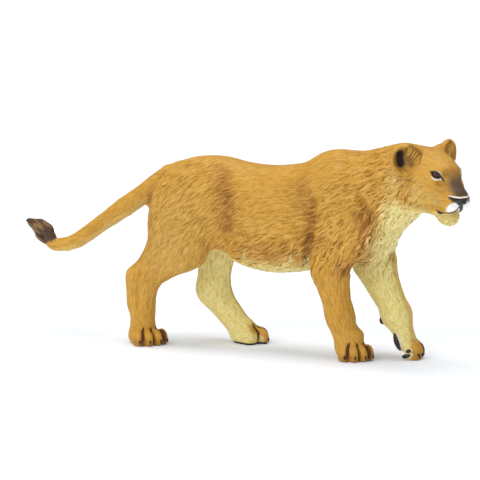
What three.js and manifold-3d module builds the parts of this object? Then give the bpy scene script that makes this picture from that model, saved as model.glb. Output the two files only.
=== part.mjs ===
// A moulded plastic toy figure of a walking lioness, about 142 mm from nose to tail tip.
// The figure is one smooth implicit surface, the blend of its named muscles, bones and paws.
// Each named piece is that surface inside a box of its own, parted from its neighbours by thin cuts.
// Millimetres, +X towards the head, +Y to the animal's left, +Z up, soles on Z = 0.
import * as THREE from "three";
import { mergeVertices } from "three/addons/utils/BufferGeometryUtils.js";
import Module from "manifold-3d";

// ---------------------------------------------------------------- driving dimensions
const CUT = 0.3; // width of every parting cut
const HEAD_AT = [22.4, -3.5, 56.3]; // middle of the skull, level with the eyes
const HEAD_TURN = -28; // degrees, to the animal's right
const EYE = { ahead: 5.6, aside: 3.3, below: 0.9, radius: 1.5 };

// Stations of the trunk: x, top, widest level, bottom, half width
const TRUNK = [
  [-62, 50.6, 40.6, 32.6, 3.7],
  [-59, 52.9, 40.3, 30.4, 7.3],
  [-52, 54.9, 40.8, 28.8, 8.6],
  [-44, 55.4, 40.8, 27.0, 9.0],
  [-36, 54.1, 40.3, 24.0, 9.5],
  [-28, 53.7, 39.3, 22.9, 10.2],
  [-20, 54.7, 38.8, 23.6, 10.4],
  [-12, 56.6, 39.3, 25.4, 9.8],
  [-4, 56.8, 40.3, 27.4, 9.0],
  [2, 55.0, 42.3, 30.4, 8.0],
];

// Stations of the tail: x, height of the middle, radius
const TAIL = [
  [-57, 49.2, 4.0],
  [-61, 48.0, 4.0],
  [-65, 45.9, 3.4],
  [-70, 42.7, 2.85],
  [-76, 38.6, 2.9],
  [-80, 35.8, 2.65],
  [-84, 33.0, 2.4],
  [-88, 30.1, 2.35],
  [-91.5, 27.75, 2.3],
  [-95, 26.3, 2.1],
  [-99, 25.8, 1.85],
];

// ---------------------------------------------------------------- distance functions
const clamp = THREE.MathUtils.clamp;
const rad = THREE.MathUtils.degToRad;

// Smooth union of two distances, rounding the join over k.
const join = (a, b, k) => Math.min(a, b) - Math.max(k - Math.abs(a - b), 0) ** 2 / (4 * k);
const carve = (a, b, k) => -join(-a, b, k);
const joinAll =
  (k, ...parts) =>
  (p) =>
    parts.reduce((d, part) => join(d, part(p), k), 1e3);

// The same part on the right and the left of the frame it is described in.
const both = (make) => joinAll(0.01, make(-1), make(1));

// An ellipsoid with half axes along x, y and z.
function ball(c, r) {
  return (p) => {
    const [x, y, z] = [p[0] - c[0], p[1] - c[1], p[2] - c[2]];
    const near = Math.hypot(x / r[0], y / r[1], z / r[2]);
    const slope = Math.hypot(x / r[0] ** 2, y / r[1] ** 2, z / r[2] ** 2);
    return slope < 1e-9 ? -Math.min(...r) : (near * (near - 1)) / slope;
  };
}

// A round cone from a to b, with its width across y scaled by wide.
function limb(a, ra, b, rb, wide = 1) {
  const middle = (a[1] + b[1]) / 2;
  const narrow = (q) => [q[0], middle + (q[1] - middle) / wide, q[2]];
  const start = narrow(a);
  const way = narrow(b).map((v, i) => v - start[i]);
  const l2 = way[0] ** 2 + way[1] ** 2 + way[2] ** 2;
  const taper = ra - rb;
  const slant = l2 - taper ** 2;
  return (p) => {
    const off = narrow(p).map((v, i) => v - start[i]);
    const y = off[0] * way[0] + off[1] * way[1] + off[2] * way[2];
    const z = y - l2;
    const side = off.map((v, i) => v * l2 - way[i] * y);
    const x2 = side[0] ** 2 + side[1] ** 2 + side[2] ** 2;
    const bound = Math.sign(taper) * taper ** 2 * x2;
    let d = (Math.sqrt((x2 * slant) / l2) + y * taper) / l2 - ra;
    if (Math.sign(z) * slant * z * z * l2 > bound) d = Math.sqrt(x2 + z * z * l2) / l2 - rb;
    else if (Math.sign(y) * slant * y * y * l2 < bound) d = Math.sqrt(x2 + y * y * l2) / l2 - ra;
    return d * Math.min(1, wide);
  };
}

// A frame at a point: leaned about X, dipped about Y, then turned about Z, in degrees.
function frame(at, turn = 0, dip = 0, lean = 0) {
  const m = new THREE.Matrix4();
  m.makeRotationFromEuler(new THREE.Euler(rad(lean), rad(dip), rad(turn), "ZYX"));
  return m.setPosition(...at);
}

// A part described in a frame of its own.
function placed(matrix, part) {
  const e = matrix.clone().invert().elements;
  const row = (p, i) => e[i] * p[0] + e[4 + i] * p[1] + e[8 + i] * p[2] + e[12 + i];
  return (p) => part([row(p, 0), row(p, 1), row(p, 2)]);
}

// ---------------------------------------------------------------- trunk and neck
// Smooth values of a trunk station at any x.
function trunkAt(x) {
  const last = TRUNK.length - 1;
  const i = clamp(TRUNK.filter((s) => s[0] <= x).length - 1, 0, last - 1);
  const u = clamp((x - TRUNK[i][0]) / (TRUNK[i + 1][0] - TRUNK[i][0]), 0, 1);
  const station = (j) => TRUNK[clamp(j, 0, last)];
  return [1, 2, 3, 4].map((c) => {
    const [a, b, d, e] = [i - 1, i, i + 1, i + 2].map((j) => station(j)[c]);
    return b + 0.5 * u * (d - a + u * (2 * a - 5 * b + 4 * d - e + u * (3 * (b - d) + e - a)));
  });
}

function barrel(p) {
  const x = clamp(p[0], TRUNK[0][0], TRUNK[TRUNK.length - 1][0]);
  const [top, middle, bottom, half] = trunkAt(x);
  const z = p[2] - middle;
  const height = z > 0 ? top - middle : middle - bottom;
  const rho = (Math.abs(p[1] / half) ** 2.2 + Math.abs(z / height) ** 2.2) ** (1 / 2.2);
  const r = Math.hypot(p[1], z);
  const d = rho < 1e-6 ? -half : r - r / rho;
  return p[0] === x ? d : Math.hypot(Math.max(d, 0), p[0] - x) + Math.min(d, 0);
}

const trunk = joinAll(
  4,
  barrel,
  ball([1.2, 0, 37], [8.2, 7.6, 9.5]), // brisket
  ball([-9, 0, 52.8], [6, 4.2, 5.4]), // withers
  ball([-60.4, 0, 38.8], [4.7, 6.4, 8.6]), // buttocks
);

const neck = joinAll(
  4,
  limb([-3, 0, 45.6], 12.3, [13, -0.6, 53.4], 9.1, 0.76),
  limb([0.5, 0, 40.3], 8.6, [15, -1.6, 49.3], 6.4, 0.85),
);

// ---------------------------------------------------------------- head, in its own frame
const skull = joinAll(
  2.4,
  ball([-2, 0, -0.8], [8.6, 6.8, 6.4]), // braincase
  ball([4.4, 0, -0.9], [4.4, 4.8, 3.7]), // brow
  limb([6.4, 0, -2.2], 3.0, [10.9, 0, -6.4], 2.3), // bridge of the nose
  both((s) => ball([1.2, 4.4 * s, -6.2], [5.6, 3.3, 4.8])), // cheek
  both((s) => ball([-3.5, 4.2 * s, -7.0], [4.6, 3.4, 5.2])), // angle of the jaw
  both((s) => limb([3.5, 3.0 * s, -5.2], 3.2, [9.2, 1.9 * s, -8.2], 2.5)), // side of the muzzle
);
const muzzle = joinAll(
  1.0,
  both((s) => ball([9.1, 2.0 * s, -8.8], [3.0, 2.5, 2.4])), // whisker pad
  ball([11.2, 0, -6.8], [1.6, 2.2, 1.4]), // nose
);
const jaw = joinAll(
  1.6,
  limb([-1, 0, -9.2], 3.6, [6, 0, -11.6], 2.3, 1.25),
  ball([7.0, 0, -12.9], [3.1, 2.8, 2.6]), // chin
);

// A round cup that opens forwards and outwards, standing on its base.
const EAR = { ahead: -2.8, aside: 7.3, above: 2.2, turn: 24, lean: 40 };
const earFrame = (s) => frame([EAR.ahead, EAR.aside * s, EAR.above], EAR.turn * s, 4, -EAR.lean * s);
const earHollow = ball([2.4, 0, 1.0], [2.4, 3.4, 3.7]);
const shell = (p) => carve(ball([0, 0, 0.4], [2.2, 4.6, 4.9])(p), earHollow(p), 0.5);
const fold = (s) => ball([-0.7, -3.7 * s, -1.8], [1.6, 2.9, 3.2]); // joins the rim to the forehead
const ears = both((s) => placed(earFrame(s), (p) => join(shell(p), fold(s)(p), 1.2)));

const HEAD = frame(HEAD_AT, HEAD_TURN);
const head = placed(HEAD, (p) => join(join(join(skull(p), muzzle(p), 1.6), jaw(p), 1.2), ears(p), 1.2));

// ---------------------------------------------------------------- legs
// A paw in a frame at its middle on the floor, x towards the toes. The middle of each toe and its
// half width, and the place of the heel, are shares of the paw's length and half width.
function paw(half, length, heel, toes) {
  const pads = toes.map(([x, y, wide]) => ball([x * length, y * half, 1.85], [0.19 * length, wide * half, 2.65]));
  const palm = ball([(0.34 - heel) * length, 0, 2.2], [0.34 * length, 0.88 * half, 3.8]);
  const fan = joinAll(0.4, ...pads);
  return (p) => join(palm(p), fan(p), 1.0);
}
const FORE_TOES = [[0.11, -0.8, 0.34], [0.26, -0.36, 0.3], [0.28, 0.2, 0.29], [0.2, 0.7, 0.31]];
const HIND_TOES = [[0.16, -0.7, 0.34], [0.27, -0.26, 0.29], [0.27, 0.32, 0.28], [0.19, 0.75, 0.29]];
const FAR_HIND_TOES = [[0.17, -0.5, 0.5], [0.35, 0.15, 0.32], [0.2, 0.68, 0.34]];

// The right foreleg stands under the shoulder and the left one reaches forwards on its toes.
const foreRight = joinAll(
  2.5,
  ball([-3, -6.2, 44.3], [7.5, 4.0, 10.5]), // shoulder blade
  limb([2.0, -6.6, 35.8], 6.2, [-6.6, -7.0, 28.2], 5.7, 0.72), // upper arm
  limb([-7.4, -6.6, 25], 5.3, [-5.0, -5.2, 12.5], 3.7, 0.82), // forearm
  limb([-5.0, -5.2, 12.5], 3.7, [-2.9, -4.6, 5.0], 3.6, 0.98), // wrist
  ball([-0.3, -4.0, 7.0], [2.0, 1.8, 1.5]), // knuckle over the paw
  placed(frame([-0.8, -4.6, 0], -42), paw(4.8, 11.6, 0.5, FORE_TOES)),
);
const foreLeft = joinAll(
  2.4,
  ball([-1, 6.2, 44.3], [7.5, 4.0, 10.5]),
  limb([2, 6.6, 35.8], 6.2, [0.4, 7.0, 28.3], 6.2, 0.72),
  limb([0.6, 6.8, 25.5], 5.7, [8.2, 5.4, 12], 3.8, 0.86),
  limb([8.2, 5.4, 12], 3.8, [11.2, 4.2, 6.3], 2.6, 1.15),
  ball([5.6, 5.2, 10.9], [1.5, 1.3, 1.2]), // wrist pad
  placed(frame([12.9, 4.0, 0], 16), (p) => {
    // raised on the toes: the palm stands up behind them
    const toe = (x, y) => ball([x, y, 2.1], [2.35, 1.15, 3.1]);
    const toes = joinAll(0.4, both((s) => toe(1.5, 0.95 * s)), both((s) => toe(0.9, 2.7 * s)));
    return join(ball([-1.6, 0, 4.9], [2.3, 3.3, 3.0])(p), toes(p), 1.0);
  }),
);

// The right hind leg is stretched back and the left one is drawn forwards under the body.
const hindRight = joinAll(
  2.5,
  ball([-54.5, -5.6, 39.3], [10, 4.8, 12.5]), // thigh
  limb([-57, -6.4, 35.3], 7.6, [-52.5, -7.0, 29.8], 6.6, 0.66),
  limb([-53.5, -7.0, 28.8], 6.0, [-65.6, -7.4, 20.0], 4.2, 0.72), // shank
  limb([-59.2, -6.6, 33], 4.0, [-65.6, -7.2, 21.5], 2.6, 0.8), // back of the thigh
  limb([-69.6, -7.4, 19.8], 1.9, [-68.4, -7.4, 12], 2.6, 0.9), // heel tendon
  limb([-66.4, -7.4, 18], 4.1, [-66.6, -7.4, 7], 3.7, 0.84), // hock and instep
  placed(frame([-65.4, -7.4, 0], -38), paw(5.1, 12.8, 0.5, HIND_TOES)),
);
const hindLeft = joinAll(
  2.5,
  ball([-52.5, 5.6, 39.3], [10, 4.8, 12.5]),
  limb([-54, 6.4, 35.3], 7.4, [-49.8, 7.0, 28.3], 5.8, 0.74),
  limb([-49.8, 7.0, 26.3], 5.4, [-50.6, 7.0, 15.6], 4.8, 0.76),
  limb([-50.8, 7.0, 14.4], 4.4, [-42.2, 6.8, 4.8], 3.6, 0.84),
  placed(frame([-39.4, 6.6, 0], -6), paw(4.6, 12.4, 0.37, FAR_HIND_TOES)),
);

// ---------------------------------------------------------------- tail
const tailRod = joinAll(
  0.15,
  ...TAIL.slice(1).map(([x, z, r], i) => {
    const [x0, z0, r0] = TAIL[i];
    return limb([x0, 0, z0], r0, [x, 0, z], r);
  }),
);
const tuft = joinAll(
  0.3,
  limb([-100.2, 0, 26.3], 1.8, [-102.7, 0, 29.3], 2.7, 0.9),
  limb([-102.7, 0, 29.3], 2.7, [-104.2, 0, 30.9], 2.05, 0.9),
  limb([-104.2, 0, 30.9], 2.05, [-108.0, 0, 32.3], 0.6, 0.9),
);

// ---------------------------------------------------------------- the whole figure
function figure(p) {
  const body = join(trunk(p), neck(p), 5);
  const members = [head, foreRight, foreLeft, hindRight, hindLeft];
  const whole = members.reduce((d, member) => join(d, member(p), 2.5), body);
  return join(whole, join(tailRod(p), tuft(p), 0.5), 1.0);
}

// ---------------------------------------------------------------- meshing
// A corner of a grid cell is numbered by three bits, one for each axis.
const BITS = [1, 2, 4];
const CORNERS = [0, 1, 2, 3, 4, 5, 6, 7].map((c) => [c & 1, (c >> 1) & 1, (c >> 2) & 1]);
const EDGES = CORNERS.flatMap((_, a) => BITS.filter((bit) => !(a & bit)).map((bit) => [a, a | bit]));
const edgesOfFace = (bit, side) => EDGES.filter((edge) => edge.every((c) => (c & bit) === side));
const FACES = BITS.flatMap((bit) => [edgesOfFace(bit, 0), edgesOfFace(bit, bit)]);

// Where the surface cuts the edge of a cell with the values v at its corners.
const cutOf = ([a, b], v) =>
  CORNERS[a].map((start, m) => start + (v[a] / (v[a] - v[b])) * (CORNERS[b][m] - start));

// Groups the crossed edges of a cell into the separate sheets of surface that pass through it.
function sheetsOf(v) {
  const crossed = (e) => v[e[0]] > 0 !== v[e[1]] > 0;
  const inner = (e) => (v[e[0]] > 0 ? e[1] : e[0]);
  const sheet = new Map(EDGES.filter(crossed).map((e) => [e, e]));
  const merge = (a, b) => {
    const [kept, dropped] = [sheet.get(a), sheet.get(b)];
    sheet.forEach((name, e) => name === dropped && sheet.set(e, kept));
  };
  for (const face of FACES) {
    const cut = face.filter(crossed);
    if (cut.length === 2) merge(cut[0], cut[1]);
    // Four crossed edges are two sheets, each of them around one corner inside.
    if (cut.length === 4) {
      for (const a of cut) cut.filter((b) => inner(a) === inner(b)).forEach((b) => merge(a, b));
    }
  }
  return sheet;
}

// Surface nets: one vertex for each sheet of surface in a grid cell, drawn onto the surface.
function surface(field, low, high, cell) {
  const n = low.map((v, a) => Math.ceil((high[a] - v) / cell) + 1);
  const at = (i, j, k) => [low[0] + i * cell, low[1] + j * cell, low[2] + k * cell];
  const index = (i, j, k) => (k * n[1] + j) * n[0] + i;
  const everyCell = (from, run) => {
    for (let k = from; k < n[2] - 1; k++) {
      for (let j = from; j < n[1] - 1; j++) {
        for (let i = from; i < n[0] - 1; i++) run(i, j, k);
      }
    }
  };
  const value = new Float64Array(n[0] * n[1] * n[2]).fill(1);
  everyCell(2, (i, j, k) => (value[index(i, j, k)] = field(at(i, j, k))));

  const vertices = [];
  const vertexOf = new Map();
  everyCell(0, (i, j, k) => {
    const v = CORNERS.map(([a, b, c]) => value[index(i + a, j + b, k + c)]);
    if (v.every((d) => d > 0) || v.every((d) => d <= 0)) return;
    const sheet = sheetsOf(v);
    for (const name of new Set(sheet.values())) {
      const edges = [...sheet.keys()].filter((e) => sheet.get(e) === name);
      const cuts = edges.map((edge) => cutOf(edge, v));
      const middle = [0, 1, 2].map((m) => cuts.reduce((sum, cut) => sum + cut[m], 0) / cuts.length);
      edges.forEach(([a, b]) => vertexOf.set(`${index(i, j, k)} ${a} ${b}`, vertices.length));
      vertices.push(settle(field, at(i + middle[0], j + middle[1], k + middle[2]), cell));
    }
  });

  const triangles = [];
  const apart = (a, b) => Math.hypot(...vertices[a].map((v, m) => v - vertices[b][m]));
  const quad = (a, b, c, d) => {
    if (apart(a, c) < apart(b, d)) triangles.push(a, b, c, a, c, d);
    else triangles.push(a, b, d, b, c, d);
  };
  const steps = [1, n[0], n[0] * n[1]];
  everyCell(1, (i, j, k) => {
    const here = index(i, j, k);
    steps.forEach((step, axis) => {
      const inside = value[here] <= 0;
      if (inside === value[here + step] <= 0) return;
      const [u, w] = [(axis + 1) % 3, (axis + 2) % 3];
      const ring = [[1, 1], [0, 1], [0, 0], [1, 0]].map(([a, b]) => {
        const corner = (a << u) | (b << w);
        return vertexOf.get(`${here - a * steps[u] - b * steps[w]} ${corner} ${corner | (1 << axis)}`);
      });
      quad(...(inside ? ring : ring.reverse()));
    });
  });
  return { vertices, triangles };
}

// Moves a point along the field's slope until it lies on the surface.
function settle(field, start, cell) {
  let q = start;
  for (let step = 0; step < 3; step++) {
    const d = field(q);
    const slope = [0, 1, 2].map((a) => (field(q.map((v, m) => (m === a ? v + 0.05 : v))) - d) / 0.05);
    const steep = Math.max(slope[0] ** 2 + slope[1] ** 2 + slope[2] ** 2, 0.05);
    q = q.map((v, a) => v - clamp((d * slope[a]) / steep, -0.3 * cell, 0.3 * cell));
  }
  return q;
}

const wasm = await Module();
wasm.setup();

const solidFrom = (positions, triangles) =>
  new wasm.Manifold(
    new wasm.Mesh({
      numProp: 3,
      vertProperties: new Float32Array(positions),
      triVerts: new Uint32Array(triangles),
    }),
  );

function solidOfGeometry(geometry) {
  const bare = geometry.clone();
  bare.deleteAttribute("normal");
  bare.deleteAttribute("uv");
  const merged = mergeVertices(bare, 1e-4);
  return solidFrom(merged.attributes.position.array, merged.index.array);
}

function geometryOf(solid) {
  const mesh = solid.getMesh();
  const geometry = new THREE.BufferGeometry();
  geometry.setAttribute("position", new THREE.BufferAttribute(new Float32Array(mesh.vertProperties), 3));
  geometry.setIndex(new THREE.BufferAttribute(new Uint32Array(mesh.triVerts), 1));
  return geometry;
}

// ---------------------------------------------------------------- pieces
const PAINT = {
  tan: { color: 0xcb9450, roughness: 0.62 },
  dark: { color: 0x3a2c22, roughness: 0.6 },
  nose: { color: 0x171312, roughness: 0.35 },
  eye: { color: 0x2c1710, roughness: 0.12 },
};

const FIGURE_LOW = [-109, -14, -1];
const FIGURE_HIGH = [38, 14, 67];

// A box with its middle at a frame, grown by a margin on every side.
function boxSolid({ at, size }, margin = 0) {
  const [x, y, z] = size.map((v) => v + 2 * margin);
  return solidOfGeometry(new THREE.BoxGeometry(x, y, z).applyMatrix4(at));
}

// The part of the figure inside a box, on a grid of its own.
function fleshIn({ at, size, cell }) {
  const bounds = new THREE.BoxGeometry(...size).applyMatrix4(at);
  bounds.computeBoundingBox();
  const low = bounds.boundingBox.min.toArray().map((v, a) => Math.max(v, FIGURE_LOW[a]) - 2.5 * cell);
  const high = bounds.boundingBox.max.toArray().map((v, a) => Math.min(v, FIGURE_HIGH[a]) + 1.5 * cell);
  const { vertices, triangles } = surface(figure, low, high, cell);
  return solidFrom(vertices.flat(), triangles).intersect(boxSolid({ at, size }));
}
const inHead = (x, y, z) => HEAD.clone().multiply(frame([x, y, z]));
const earBox = (s) => HEAD.clone().multiply(earFrame(s)).multiply(frame([0.3, 0, 2.4]));

// The boxes of the pieces and the grids they are meshed on; each takes what those before it have left.
const PIECES = [
  { name: "nose", at: inHead(13, 0, -6.5), size: [3.8, 4.6, 2.8], cell: 1.15, paint: "nose" },
  { name: "jaw", at: inHead(7, 0, -14.5), size: [12, 9, 6.4], cell: 1.6, paint: "tan" },
  { name: "ear_right", at: earBox(-1), size: [6.2, 10.8, 8.6], cell: 1.4, paint: "tan" },
  { name: "ear_left", at: earBox(1), size: [6.2, 10.8, 8.6], cell: 1.4, paint: "tan" },
  { name: "head", at: inHead(4, 0, -4), size: [21, 24, 30], cell: 1.8, paint: "tan" },
  { name: "neck", at: frame([12, -1, 46], -14, -32), size: [22, 30, 44], cell: 3.7, paint: "tan" },
  { name: "tail_tuft", at: frame([-105.5, 0, 31], 0, 40), size: [14, 9, 12], cell: 1.7, paint: "dark" },
  { name: "tail_end", at: frame([-94, 0, 27]), size: [16, 9, 14], cell: 2.2, paint: "tan" },
  { name: "tail_middle", at: frame([-83, 0, 34], 0, -36), size: [14, 9, 14], cell: 2.2, paint: "tan" },
  { name: "tail_base", at: frame([-72, 0, 41.4], 0, -36), size: [14, 10, 8.4], cell: 2.5, paint: "tan" },
  { name: "fore_paw_right", at: frame([1, -6.9, 3]), size: [22, 13, 6], cell: 1.65, paint: "tan" },
  { name: "fore_paw_left", at: frame([13, 6.9, 3.2]), size: [16, 13, 6.4], cell: 1.55, paint: "tan" },
  { name: "hind_paw_right", at: frame([-66, -6.9, 3]), size: [22, 13, 6], cell: 1.7, paint: "tan" },
  { name: "hind_paw_left", at: frame([-40, 6.9, 2.8]), size: [22, 13, 5.6], cell: 1.7, paint: "tan" },
  { name: "forearm_right", at: frame([-5, -6.9, 13]), size: [30, 13, 22], cell: 2.8, paint: "tan" },
  { name: "forearm_left", at: frame([5, 6.9, 13]), size: [30, 13, 22], cell: 2.9, paint: "tan" },
  { name: "hock_right", at: frame([-66, -6.9, 12]), size: [20, 13, 15], cell: 2.7, paint: "tan" },
  { name: "hock_left", at: frame([-48, 6.9, 9]), size: [26, 13, 13], cell: 2.7, paint: "tan" },
  { name: "shank_right", at: frame([-61.5, -6.9, 20], 0, 28), size: [30, 13, 15], cell: 2.7, paint: "tan" },
  { name: "shank_left", at: frame([-50, 6.9, 18.5]), size: [24, 13, 10], cell: 2.7, paint: "tan" },
  { name: "thigh_right", at: frame([-57, -9.4, 36], 0, -14), size: [29, 13, 26], cell: 3.4, paint: "tan" },
  { name: "thigh_left", at: frame([-54, 9.4, 34], 0, -8), size: [27, 13, 24], cell: 3.4, paint: "tan" },
  { name: "upper_arm_right", at: frame([-3, -9.8, 35], 0, 8), size: [21, 13, 24], cell: 3.1, paint: "tan" },
  { name: "upper_arm_left", at: frame([-1, 9.8, 35], 0, 8), size: [21, 13, 24], cell: 3.3, paint: "tan" },
  { name: "chest", at: frame([1, 0, 42]), size: [34, 30, 44], cell: 3.9, paint: "tan" },
  { name: "loin", at: frame([-28, 0, 42]), size: [24, 30, 44], cell: 4.8, paint: "tan" },
  { name: "rump", at: frame([-54, 0, 42]), size: [28, 30, 44], cell: 3.9, paint: "tan" },
];

const eyeAt = (s) => inHead(EYE.ahead, EYE.aside * s, -EYE.below);
const eyeBall = (s, radius) => new THREE.SphereGeometry(radius, 10, 7).applyMatrix4(eyeAt(s));
const sockets = [-1, 1].map((s) => solidOfGeometry(eyeBall(s, EYE.radius + CUT)));

// The largest body of a solid, so that no sliver of a cut is left beside it.
function mainBody(solid) {
  return solid.decompose().sort((a, b) => b.volume() - a.volume())[0];
}

function add(name, geometry, paint) {
  const mesh = new THREE.Mesh(geometry, new THREE.MeshStandardMaterial({ metalness: 0, ...PAINT[paint] }));
  mesh.name = name;
  group.add(mesh);
}

const group = new THREE.Group();
const taken = [...sockets];
for (const piece of PIECES) {
  const solid = taken.reduce((left, other) => left.subtract(other), fleshIn(piece));
  add(piece.name, geometryOf(mainBody(solid)), piece.paint);
  taken.push(boxSolid(piece, CUT));
}
add("eye_right", geometryOf(solidOfGeometry(eyeBall(-1, EYE.radius))), "eye");
add("eye_left", geometryOf(solidOfGeometry(eyeBall(1, EYE.radius))), "eye");

// The origin is on the floor, under the middle of the figure.
const middle = new THREE.Box3().setFromObject(group).getCenter(new THREE.Vector3());
group.position.set(-middle.x, -middle.y, 0);

export default group;
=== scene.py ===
# The looks of a moulded, hand-painted toy lioness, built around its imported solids.
# Shapes are worked out in millimetres in the figure's own coordinates (+X to the head, +Y to the
# animal's left, +Z up, floor at 0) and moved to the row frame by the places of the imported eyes.
import math

import bpy
import numpy as np
import openvdb
from mathutils import Matrix, Vector


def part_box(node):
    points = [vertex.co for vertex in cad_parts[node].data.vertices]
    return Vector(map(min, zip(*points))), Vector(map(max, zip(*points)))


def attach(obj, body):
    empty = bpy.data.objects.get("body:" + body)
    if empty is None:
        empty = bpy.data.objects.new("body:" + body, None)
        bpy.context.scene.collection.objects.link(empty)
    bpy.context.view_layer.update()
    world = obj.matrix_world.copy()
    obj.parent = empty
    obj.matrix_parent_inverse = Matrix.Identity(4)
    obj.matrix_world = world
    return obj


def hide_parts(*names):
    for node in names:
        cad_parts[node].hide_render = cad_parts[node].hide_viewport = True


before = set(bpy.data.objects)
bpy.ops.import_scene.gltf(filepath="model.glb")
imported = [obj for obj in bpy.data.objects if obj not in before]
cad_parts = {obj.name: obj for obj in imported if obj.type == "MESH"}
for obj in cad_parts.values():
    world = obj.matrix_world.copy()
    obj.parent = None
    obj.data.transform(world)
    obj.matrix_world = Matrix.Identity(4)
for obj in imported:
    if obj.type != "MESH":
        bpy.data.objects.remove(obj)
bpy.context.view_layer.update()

# ---- sizes, in millimetres
HEAD_AT = (22.4, -3.5, 56.3)
HEAD_TURN = -28  # degrees, to the animal's right
# Middles of eye and ear in the head's frame; the ear's turn and lean are in degrees.
EYE = dict(ahead=5.6, aside=3.3, below=0.9, radius=1.5)
EAR = dict(ahead=-2.8, aside=7.3, above=2.2, turn=24, lean=40)
EYE_BULGE = [1.78, 2.0, 1.72]  # half sizes of the lids' ball
VOXEL = 0.19
BLOCK = 8  # voxels along the side of a block of the narrow band
SQUARE = 2.2  # power of the trunk's cross section; 2 is an ellipse
FAR = 9.0  # the distance given where a part isn't worked out
CHUNK = 200_000  # points worked out at a time
PROBE = 0.04  # step for measuring slopes
SEEDS = dict(coat=11, locks=5, ears=8, tuft=9, lock_paint=3, tuft_tone=4)


def random_for(use):
    return np.random.default_rng(SEEDS[use])


# x, top, widest level, bottom, half width
TRUNK = np.array([
    [-62, 50.6, 40.6, 32.6, 3.7],
    [-59, 52.9, 40.3, 30.4, 7.3],
    [-52, 54.9, 40.8, 28.8, 8.6],
    [-44, 55.4, 40.8, 27.0, 9.0],
    [-36, 54.1, 40.3, 24.0, 9.5],
    [-28, 53.7, 39.3, 22.9, 10.2],
    [-20, 54.7, 38.8, 23.6, 10.4],
    [-12, 56.6, 39.3, 25.4, 9.8],
    [-4, 56.8, 40.3, 27.4, 9.0],
    [2, 55.0, 42.3, 30.4, 8.0],
])
# x, height of the middle, radius
TAIL = [
    (-57, 49.2, 4.0), (-61, 48.0, 4.0), (-65, 45.9, 3.4), (-70, 42.7, 2.85), (-76, 38.6, 2.9),
    (-80, 35.8, 2.65), (-84, 33.0, 2.4), (-88, 30.1, 2.35), (-91.5, 27.75, 2.3), (-95, 26.3, 2.1),
    (-99, 25.8, 1.85),
]


# ---- distance functions
def join(a, b, k):
    """The union of two distances, with the join rounded over k."""
    return np.minimum(a, b) - np.maximum(k - np.abs(a - b), 0) ** 2 / (4 * k)


def carve(a, b, k):
    """The first distance with the second cut out of it."""
    return -join(-a, b, k)


def join_all(k, *parts):
    """One part from many, each joined in turn."""
    def whole(p):
        d = parts[0](p)
        for part in parts[1:]:
            d = join(d, part(p), k)
        return d
    return whole


def both(make):
    """The same part on the right and the left of the frame it is described in."""
    return join_all(0.01, make(-1), make(1))


def ball(c, r):
    """An ellipsoid from its middle and half sizes; the distance is close to true near its surface."""
    c, r = np.array(c, float), np.array(r, float)

    def part(p):
        q = p - c
        near = np.linalg.norm(q / r, axis=1)
        slope = np.linalg.norm(q / r**2, axis=1)
        return near * (near - 1) / np.maximum(slope, 1e-9)
    return part


def limb(a, ra, b, rb, wide=1.0):
    """A round cone from a to b, with its width across y scaled by wide."""
    middle = (a[1] + b[1]) / 2
    squeeze = np.array([1, 1 / wide, 1])
    shift = np.array([0, middle * (1 - 1 / wide), 0])
    start = np.array(a, float) * squeeze + shift
    way = np.array(b, float) * squeeze + shift - start
    l2, taper = way @ way, ra - rb
    slant = l2 - taper**2

    def part(p):
        off = p * squeeze + shift - start
        y = off @ way
        z = y - l2
        x2 = ((off * l2 - way * y[:, None]) ** 2).sum(1)
        bound = np.sign(taper) * taper**2 * x2
        d = (np.sqrt(x2 * slant / l2) + y * taper) / l2 - ra
        past_b = np.sign(z) * slant * z * z * l2 > bound
        past_a = ~past_b & (np.sign(y) * slant * y * y * l2 < bound)
        d = np.where(past_b, np.sqrt(x2 + z * z * l2) / l2 - rb, d)
        d = np.where(past_a, np.sqrt(x2 + y * y * l2) / l2 - ra, d)
        return d * min(1, wide)
    return part


def axes(at, turn=0, dip=0, lean=0):
    """A frame at a point: leaned about X, dipped about Y, then turned about Z, in degrees."""
    spin = (Matrix.Rotation(math.radians(turn), 3, "Z") @ Matrix.Rotation(math.radians(dip), 3, "Y")
            @ Matrix.Rotation(math.radians(lean), 3, "X"))
    return np.array(spin), np.array(at, float)


def inner(fr, p):
    """Points in the coordinates of a frame."""
    return (p - fr[1]) @ fr[0]


def outer(fr, p):
    """Points given in the coordinates of a frame, in those around it."""
    return np.asarray(p, float) @ fr[0].T + fr[1]


def placed(fr, part):
    return lambda p: part(inner(fr, p))


def within(low, high, part):
    """A part that is only worked out inside a box, and is far away outside it."""
    low, high = np.array(low, float), np.array(high, float)

    def near(p):
        d = np.full(len(p), FAR)
        here = ((p > low) & (p < high)).all(1)
        if here.any():
            d[here] = part(p[here])
        return d
    return near


# ---- the figure
def spline(a, b, c, d, u):
    """The smooth curve from b to c, between a before and d after, at a share u of the way."""
    return b + 0.5 * u * (c - a + u * (2 * a - 5 * b + 4 * c - d + u * (3 * (b - c) + d - a)))


def trunk_at(x):
    """Top, widest level, bottom and half width of the trunk at each x."""
    last = len(TRUNK) - 1
    i = np.clip(np.searchsorted(TRUNK[:, 0], x, side="right") - 1, 0, last - 1)
    u = np.clip((x - TRUNK[i, 0]) / (TRUNK[i + 1, 0] - TRUNK[i, 0]), 0, 1)[:, None]
    return spline(*[TRUNK[np.clip(i + step, 0, last), 1:] for step in (-1, 0, 1, 2)], u)


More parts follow.
